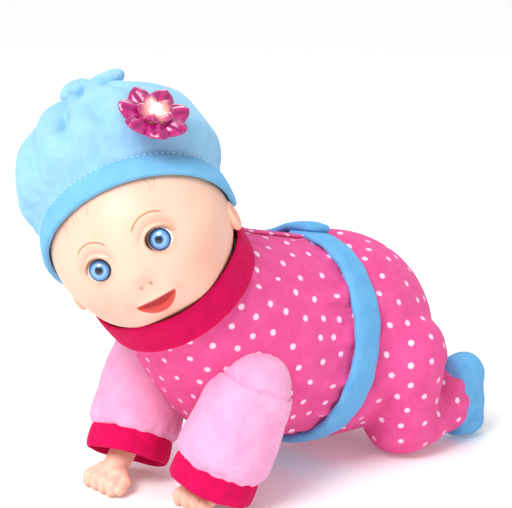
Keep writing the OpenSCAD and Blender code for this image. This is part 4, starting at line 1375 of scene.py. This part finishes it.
class DOLL_OT_waist_band(bpy.types.Operator):
    """Wraps the padded waist band and laps its ends at the spine"""

    bl_idname = "doll.waist_band"
    bl_label = "Waist band"

    def execute(self, context):
        bm = tube(36, 300)
        overlap = math.radians(16)

        def wrap(points):
            section = np.arctan2(points[:, 1], points[:, 0])
            share = points[:, 2]
            angle = -overlap / 2 + share * (math.tau + overlap)
            end = np.minimum(share, 1 - share)
            close = step(end, 0, 0.006)
            climb = 4.2 * step(share, 0.91, 0.985) - 2.0 * (1 - step(share, 0.015, 0.07))
            wide = (11.0 + 0.5 * np.sin(7 * angle)) * (0.75 + 0.25 * close)
            thick = (3.3 + 0.35 * np.sin(11 * angle + 1)) * (0.25 + 0.75 * close)
            across = wide * np.sign(np.cos(section)) * np.abs(np.cos(section)) ** 0.62
            out = thick * np.sign(np.sin(section)) * np.abs(np.sin(section)) ** 0.8
            crease = 0.35 * np.cos(23 * angle + 0.25 * across) * np.abs(across / 11) ** 2
            radius = WAIST_RADIUS + 2.4 + climb + out + crease
            along = across + 0.9 * np.sin(3 * angle) + 1.4 * step(share, 0.93, 1.0)
            return np.column_stack([radius * np.sin(angle), along, radius * np.cos(angle)])

        shaped(bm, wrap)
        closed_up(bm)
        band = as_object(bm, "padded_waist_band", TRUNK)
        dressed(band, "sky_blue", "torso", ["waist_band"])
        return {"FINISHED"}


# ---------- trousers and booties ----------

KNEE_RADIUS = 24.5
ANKLE_RADIUS = 21.5


def knee_place(name):
    middle = box_middle(f"{name}_knee_pad")
    return Vector((middle.x, middle.y - 4, 26))


def ankle_place(name):
    knee = knee_place(name)
    return Vector((knee.x + SIDES[name] * 5, knee.y + 38, 30))


class DOLL_OT_trousers(bpy.types.Operator):
    """Sews the seat and both legs as one cloth, then parts them where they can swing"""

    bl_idname = "doll.trousers"
    bl_label = "Trousers"

    def execute(self, context):
        sizes = context.scene.doll_sizes
        bm = bmesh.new()
        seat_middle = Vector((0, box_middle("waist_band").y + 34, 80))
        waist = TRUNK @ Vector((0, 4, 0))
        for k in range(22):
            ball(bm, (TRUNK @ Vector((0, 2, 0))).lerp(seat_middle, k / 21), 1, (67.5, 67.5, 67.5), 4)
        for name, side in SIDES.items():
            hip = joint_place(f"{name}_hip")
            knee, ankle = knee_place(name), ankle_place(name)
            for x in (38, 46, 54):
                capsule(bm, (side * x, hip.y, hip.z), knee, 28.5, KNEE_RADIUS)
            capsule(bm, knee, ankle, KNEE_RADIUS, ANKLE_RADIUS)
            capsule(bm, ankle, ankle + Vector((side * 1.5, 9, 1.5)), ANKLE_RADIUS, 17.5)
        cloth = as_object(bm, "dotted_trousers")
        remeshed(cloth, 3.0, 10)
        sliced(cloth, world(waist), -TRUNK_ALONG, clear_outer=True)
        points = own_points(cloth)
        in_trunk = transformed(points, TRUNK.inverted())
        pins = 1 - step(in_trunk[:, 1], 4, 16)
        for name in SIDES:
            gap = np.linalg.norm(points - np.array(ankle_place(name) + Vector((0, 12, 0))), axis=1)
            pins = np.maximum(pins, 1 - step(gap, 16, 24))
        pins = np.maximum(pins, 1 - step(points[:, 2], 1.5, 7))
        store(cloth, "rest", points * MM, "FLOAT_VECTOR")
        normals = point_normals(cloth.data)
        around = np.arctan2(in_trunk[:, 0], in_trunk[:, 2])
        gathers = np.exp(-(((in_trunk[:, 1] - 12) / 16) ** 2)) * np.cos(19 * around + 1.5 * np.sin(4 * around))
        for name, side in SIDES.items():
            hip, knee = joint_place(f"{name}_hip"), knee_place(name)
            bend = Vector((side * 58, (hip.y + knee.y) / 2 + 26, (hip.z + knee.z) / 2 + 4))
            gap = points - np.array(bend)
            gathers += 0.9 * np.exp(-((gap**2).sum(1)) / 26**2) * np.cos(gap[:, 2] * 0.42 + gap[:, 1] * 0.2)
            ankle = np.array(ankle_place(name))
            off = points - ankle
            ring = np.exp(-(((off[:, 1] - 6) / 7) ** 2)) * (np.linalg.norm(off, axis=1) < 32)
            gathers += 0.9 * ring * np.cos(9 * np.arctan2(off[:, 0], off[:, 2]))
        points += normals * (gathers * sizes.fold_depth * (1 - pins))[:, None]
        set_own_points(cloth, points)
        pulled_folds(cloth, pins, 0.05, 4.5, 2, frames=20, pressure=0.9)
        subdivided(cloth)
        points = read_points(cloth.data)
        points[:, 2] = np.maximum(points[:, 2], 0.5 * MM)
        write_points(cloth.data, points)
        print_dots(cloth, stored(cloth, "rest", "FLOAT_VECTOR"), sizes.dot_pitch)

        # The left leg stays one cloth with the seat; the right leg is parted along a plane that the swing leaves still
        way = Vector((0.75, 0.35, -0.55))
        right_way = Vector((-way.x, way.y, way.z)).normalized()
        left_way = way.normalized()
        seam = 24.0
        smooth_normals = point_normals(cloth.data)
        store(cloth, "shade", smooth_normals, "FLOAT_VECTOR")
        right = cloth.copy()
        right.data = cloth.data.copy()
        right.name = "right_trouser_leg_cloth"
        context.scene.collection.objects.link(right)
        for piece, cleared in ((cloth, "clear_outer"), (right, "clear_inner")):
            sliced(piece, world(right_way * seam), right_way, **{cleared: True})
            piece.data.normals_split_custom_set_from_vertices(stored(piece, "shade", "FLOAT_VECTOR").tolist())
        span = 42.0
        dressed(
            cloth, "dotted_velour",
            ("torso", "left_leg", world(left_way * seam), world(left_way * (seam + span))),
            ["trousers_seat", "left_trouser_leg", "left_knee_pad"],
        )
        dressed(
            right, "dotted_velour",
            ("torso", "right_leg", world(right_way * seam), world(right_way * (seam + span))),
            ["right_trouser_leg", "right_knee_pad"],
        )
        return {"FINISHED"}


class DOLL_OT_booties(bpy.types.Operator):
    """Sews the two soft booties"""

    bl_idname = "doll.booties"
    bl_label = "Booties"

    def execute(self, context):
        for name, side in SIDES.items():
            ankle = ankle_place(name)
            low, high = box_corners(f"{name}_bootie")
            middle = (low + high) / 2
            bm = bmesh.new()
            toe = Vector((middle.x + side * 1.5, high.y - 13.5, 13.6))
            heel = Vector((middle.x, high.y - 15.5, high.z - 14.5))
            capsule(bm, toe, heel, 13.2, 14.2)
            capsule(bm, ankle + Vector((0, 6, 0)), ankle + Vector((side, 13, 1)), 19.5, 17.5)
            capsule(bm, toe - Vector((0, 7, 0)), heel - Vector((0, 6, 0)), 12.5, 13.0)
            bootie = remeshed(as_object(bm, f"{name}_soft_bootie"), 1.5, 8)
            points = own_points(bootie)
            normals = point_normals(bootie.data)
            off = points - np.array(ankle)
            creases = np.cos(off[:, 2] * 0.33 + 1.2 * np.sin(points[:, 0] * 0.12)) * step(off[:, 1], 6, 14)
            cuff_roll = np.exp(-(((off[:, 1] - 9) / 3.0) ** 2))
            points += normals * (0.45 * creases + 1.4 * cuff_roll + 0.6 * lumps(points, 14, 4))[:, None]
            points[:, 2] = np.maximum(points[:, 2], 0.4)
            set_own_points(bootie, points)
            subdivided(bootie)
            dressed(bootie, "sky_blue", f"{name}_leg", [f"{name}_bootie"])
        return {"FINISHED"}


# ---------- sleeves, cuffs and hands ----------


def arm_frame(name):
    """The arm's frame: its origin at the shoulder and Z down the arm."""
    shoulder = joint_place(f"{name}_shoulder")
    down = cuff_axis(name)
    return Matrix.Translation(shoulder) @ down.to_track_quat("Z", "Y").to_matrix().to_4x4()


def cuff_axis(name):
    """Direction from the shoulder to the sleeve's opening, read from where the cuff is."""
    return (cuff_place(name) - joint_place(f"{name}_shoulder")).normalized()


def sleeve_length(name):
    """From the shoulder to the cuff's upper edge."""
    return (cuff_place(name) - joint_place(f"{name}_shoulder")).length - 6.5


class DOLL_OT_sleeves(bpy.types.Operator):
    """Sews the pale sleeves"""

    bl_idname = "doll.sleeves"
    bl_label = "Sleeves"

    def execute(self, context):
        sizes = context.scene.doll_sizes
        for name, side in SIDES.items():
            place = arm_frame(name)
            length = sleeve_length(name) + 2
            profile = [(0, 0.01, -23.5), (0.12, 12, -20.5), (0.24, 20, -12.5), (0.36, 23.6, -2), (0.6, 26.4, 18),
                       (0.84, 27.9, length - 14), (0.93, 26.6, length - 6), (1, 24.4, length)]
            bm = tube(120, 64)
            shares = np.array([v.co.z for v in bm.verts])
            around = np.array([math.atan2(v.co.y, v.co.x) for v in bm.verts])

            def cut(points, profile=profile, shares=shares, around=around):
                radius, depth = smooth_path(profile, shares).T
                gather = np.exp(-(((1 - shares) / 0.2) ** 2)) * np.cos(15 * around + np.sin(3 * around))
                gather *= 1 - np.exp(-(((1 - shares) / 0.09) ** 2))
                drape = np.exp(-(((shares - 0.62) / 0.24) ** 2)) * np.cos(5 * around + 9 * shares)
                radius = np.maximum(radius, 0) + sizes.fold_depth * (0.75 * gather + 0.6 * drape) * step(shares, 0, 0.3)
                return np.column_stack([radius * np.cos(around), radius * np.sin(around), depth])

            shaped(bm, cut)
            bmesh.ops.remove_doubles(bm, verts=bm.verts, dist=0.05)
            bmesh.ops.recalc_face_normals(bm, faces=bm.faces)
            sleeve = as_object(bm, f"{name}_pale_sleeve", place)
            depth = transformed(own_points(sleeve), place.inverted())[:, 2]
            pins = np.maximum(1 - step(depth, -16, -4), step(depth, length - 5, length - 1))
            pulled_folds(sleeve, pins, 0.07, 3.5, 3 + side, frames=18, pressure=0.7)
            subdivided(sleeve)
            shoulder = joint_place(f"{name}_shoulder")
            down = cuff_axis(name)
            dressed(
                sleeve, "pale_velour",
                ("torso", f"{name}_arm", world(shoulder - down * 6), world(shoulder + down * 22)),
                [f"{name}_sleeve"],
            )
        return {"FINISHED"}


class DOLL_OT_cuffs(bpy.types.Operator):
    """Turns the crimson cuffs at the wrists"""

    bl_idname = "doll.cuffs"
    bl_label = "Cuffs"

    def execute(self, context):
        # Section of the folded cuff, (radius, place down the arm): over the sleeve's end, round the hem, up inside
        section = [
            (24.6, -3.4), (26.4, -3.2), (27.4, -1.4), (27.8, 3.0), (27.9, 7.0), (27.7, 10.6), (27.0, 12.9),
            (25.8, 13.5), (24.8, 12.4), (24.4, 9.6), (24.0, 5.0), (22.8, 2.4), (18.0, 1.2), (12.0, 1.0), (9.0, 1.0),
        ]
        for name in SIDES:
            bm = lathe(section, 144)

            def soften(points):
                around = np.arctan2(points[:, 1], points[:, 0])
                radius = np.hypot(points[:, 0], points[:, 1])
                ripple = np.cos(9 * around + 1.3 * np.sin(2 * around)) + 0.6 * np.cos(17 * around)
                radius = radius + 0.32 * ripple * step(radius, 20, 27)
                return np.column_stack(
                    [radius * np.cos(around), radius * np.sin(around), points[:, 2] + 0.35 * np.sin(4 * around)]
                )

            shaped(bm, soften)
            place = arm_frame(name) @ Matrix.Translation((0, 0, sleeve_length(name)))
            cuff = as_object(bm, f"{name}_turned_cuff", place)
            thickened(cuff, 0.9)
            subdivided(cuff)
            dressed(cuff, "crimson", f"{name}_arm", [f"{name}_cuff"])
        return {"FINISHED"}


class DOLL_OT_hands(bpy.types.Operator):
    """Models the small curled vinyl hands"""

    bl_idname = "doll.hands"
    bl_label = "Hands"

    def execute(self, context):
        for name, side in SIDES.items():
            front = box_corners(f"{name}_hand")[0].y + 0.5
            wrist = joint_place(f"{name}_shoulder") + cuff_axis(name) * (sleeve_length(name) + 1)
            palm = Vector((side * 32, front + 15, 11))
            bm = bmesh.new()
            capsule(bm, wrist, palm, 9.0, 8.2)
            capsule(bm, palm + Vector((-6, -1, -1)), palm + Vector((7, -1, -1)), 7.0, 7.0)
            for k in range(4):
                spread = k - 1.5
                knuckle = Vector((side * 32 + spread * 7.2, front + 10.5, 10.2 - 0.5 * spread**2))
                middle = Vector((side * 31.5 + spread * 7.9, front + 5.2, 9.0 - 0.5 * spread**2))
                tip = Vector((side * 31.5 + spread * 8.1, front + 4.6, 4.4))
                capsule(bm, knuckle, middle, 4.6, 4.2)
                capsule(bm, middle, tip, 4.1, 3.8)
            thumb = Vector((side * 17.5, front + 14, 8.5))
            capsule(bm, palm + Vector((side * -7, 2, 0)), thumb, 5.2, 4.4)
            capsule(bm, thumb, thumb + Vector((side * -2.5, -6, -3.2)), 4.2, 3.7)
            hand = remeshed(as_object(bm, f"{name}_vinyl_hand"), 0.7, 3)
            points = own_points(hand)
            points[:, 2] = np.maximum(points[:, 2], 0.25)
            set_own_points(hand, points)
            # The blush-and-shade tint: faint all over and stronger within 8 mm of the floor
            store(hand, "blush_and_shade", 0.12 + 0.35 * (1 - step(points[:, 2], 1, 8)))
            for mask in ("lip", "mouth", "brow", "hollow"):
                store(hand, mask, np.zeros(len(points)))
            dressed(hand, "skin", f"{name}_arm", [f"{name}_hand"])
        return {"FINISHED"}


# ---------- works and stage ----------

# Finish of each CAD piece that stays as it is
WORKS = {
    "case": ["case_upper", "case_lower", "battery_door", "neck_post", "neck_socket", "left_arm_core",
             "right_arm_core", "left_leg_core", "right_leg_core"],
    "steel": ["case_screws", "door_screw", "battery_contacts", "neck_retainer", "gear_plates", "drive_motor"],
    "wrap": ["battery_cells"],
    "board": ["circuit_board"],
    "black": ["sound_sensor", "speaker", "power_switch"],
    "acetal": ["motor_pinion", "idler_gear", "crank_gear", "left_link_rod", "right_link_rod"],
    "stuffing": ["body_padding"],
    "flower_base": ["flower_base"],
}


class DOLL_OT_works(bpy.types.Operator):
    """Finishes the case, the drive, the electronics and the stuffing"""

    bl_idname = "doll.works"
    bl_label = "Works"

    def execute(self, context):
        for key, names in WORKS.items():
            for name in names:
                slots = frame["nodes"][name].data.materials
                slots.clear()
                slots.append(finish_named(key))
        return {"FINISHED"}


class DOLL_OT_stage(bpy.types.Operator):
    """Lays the pale floor, hangs the soft lights and sets the camera"""

    bl_idname = "doll.stage"
    bl_label = "Stage"

    azimuth: FloatProperty(
        name="Azimuth", description="Camera's way round the doll", default=math.radians(48), subtype="ANGLE"
    )
    elevation: FloatProperty(
        name="Elevation", description="Camera's height", default=math.radians(14), subtype="ANGLE"
    )

    def execute(self, context):
        scene = context.scene
        bm = bmesh.new()
        bmesh.ops.create_grid(bm, x_segments=2, y_segments=2, size=40000)
        floor = as_object(bm, "pale_floor")
        material, tree, shader, place = new_material("Matt white paper")
        fibre = add(tree, "ShaderNodeTexNoise", {"Vector": place, "Scale": per_mm(3), "Detail": 2.0})
        tint = add(
            tree,
            "ShaderNodeMix",
            {0: fibre.outputs["Fac"], 6: linear("#FBFBFB"), 7: linear("#F6F6F6")},
            data_type="RGBA",
        )
        tree.links.new(tint.outputs[2], shader.inputs["Base Color"])
        shader.inputs["Roughness"].default_value = 0.9
        # A light table's faint glow keeps the far paper white
        shader.inputs["Emission Color"].default_value = (1, 1, 1, 1)
        shader.inputs["Emission Strength"].default_value = 0.12
        floor.data.materials.append(material)

        target = world((12, -20, 150))
        back = Vector(
            (
                math.sin(self.azimuth) * math.cos(self.elevation),
                -math.cos(self.azimuth) * math.cos(self.elevation),
                math.sin(self.elevation),
            )
        )
        camera = bpy.data.cameras.new("camera")
        camera.lens = 109.7
        camera.sensor_width = 36
        camera.clip_start, camera.clip_end = 0.05, 30
        holder = bpy.data.objects.new("camera", camera)
        holder.location = target + back
        holder.rotation_mode = "QUATERNION"
        holder.rotation_quaternion = (-back).to_track_quat("-Z", "Y")
        scene.collection.objects.link(holder)
        scene.camera = holder

        # Soft lights: name, place in metres, size and power
        for name, spot, size, power in (
            ("key", (0.35, -1.35, 1.45), 0.8, 13),
            ("fill", (1.7, -0.25, 0.7), 1.2, 3),
            ("back", (-0.9, 0.9, 1.3), 1.0, 5),
        ):
            lamp = bpy.data.lights.new(name, "AREA")
            lamp.shape = "DISK"
            lamp.size = size
            lamp.energy = power
            hung = bpy.data.objects.new(name, lamp)
            hung.location = spot
            hung.rotation_mode = "QUATERNION"
            hung.rotation_quaternion = (Vector((0, 0, 0.12)) - Vector(spot)).to_track_quat("-Z", "Y")
            scene.collection.objects.link(hung)
        # A wide soft sun lights the floor as evenly far off as near
        sky = bpy.data.lights.new("soft sun", "SUN")
        sky.energy = 1.55
        sky.angle = math.radians(35)
        high = bpy.data.objects.new("soft sun", sky)
        high.rotation_euler = (math.radians(32), math.radians(8), 0)
        scene.collection.objects.link(high)
        room = bpy.data.worlds.new("soft white room")
        room.use_nodes = True
        room.node_tree.nodes["Background"].inputs["Color"].default_value = (1, 1, 1, 1)
        room.node_tree.nodes["Background"].inputs["Strength"].default_value = 0.5
        scene.world = room
        scene.view_settings.view_transform = "Standard"
        return {"FINISHED"}


class DOLL_PT_panel(bpy.types.Panel):
    """Lists the doll's pieces in the sidebar"""

    bl_idname = "DOLL_PT_panel"
    bl_label = "Crawling Baby Doll"
    bl_space_type = "VIEW_3D"
    bl_region_type = "UI"
    bl_category = "Doll"

    def draw(self, context):
        for group in (context.scene.doll_colours, context.scene.doll_sizes):
            for name in group.bl_rna.properties.keys():
                if name not in {"rna_type", "name"}:
                    self.layout.prop(group, name)
        for piece in PIECES:
            self.layout.operator(piece.bl_idname)


PIECES = (
    DOLL_OT_stage, DOLL_OT_works, DOLL_OT_head, DOLL_OT_eyes, DOLL_OT_hat, DOLL_OT_flower, DOLL_OT_jacket,
    DOLL_OT_collar, DOLL_OT_waist_band, DOLL_OT_trousers, DOLL_OT_booties, DOLL_OT_sleeves, DOLL_OT_cuffs,
    DOLL_OT_hands,
)
CLASSES = (DollColours, DollSizes, *PIECES, DOLL_PT_panel)


def register():
    for made in CLASSES:
        bpy.utils.register_class(made)
    bpy.types.Scene.doll_colours = PointerProperty(type=DollColours)
    bpy.types.Scene.doll_sizes = PointerProperty(type=DollSizes)


def unregister():
    del bpy.types.Scene.doll_colours
    del bpy.types.Scene.doll_sizes
    for made in reversed(CLASSES):
        bpy.utils.unregister_class(made)


def main():
    register()
    for piece in PIECES:
        name = piece.bl_idname.split(".")[1]
        getattr(bpy.ops.doll, name)()


if __name__ == "__main__":
    main()
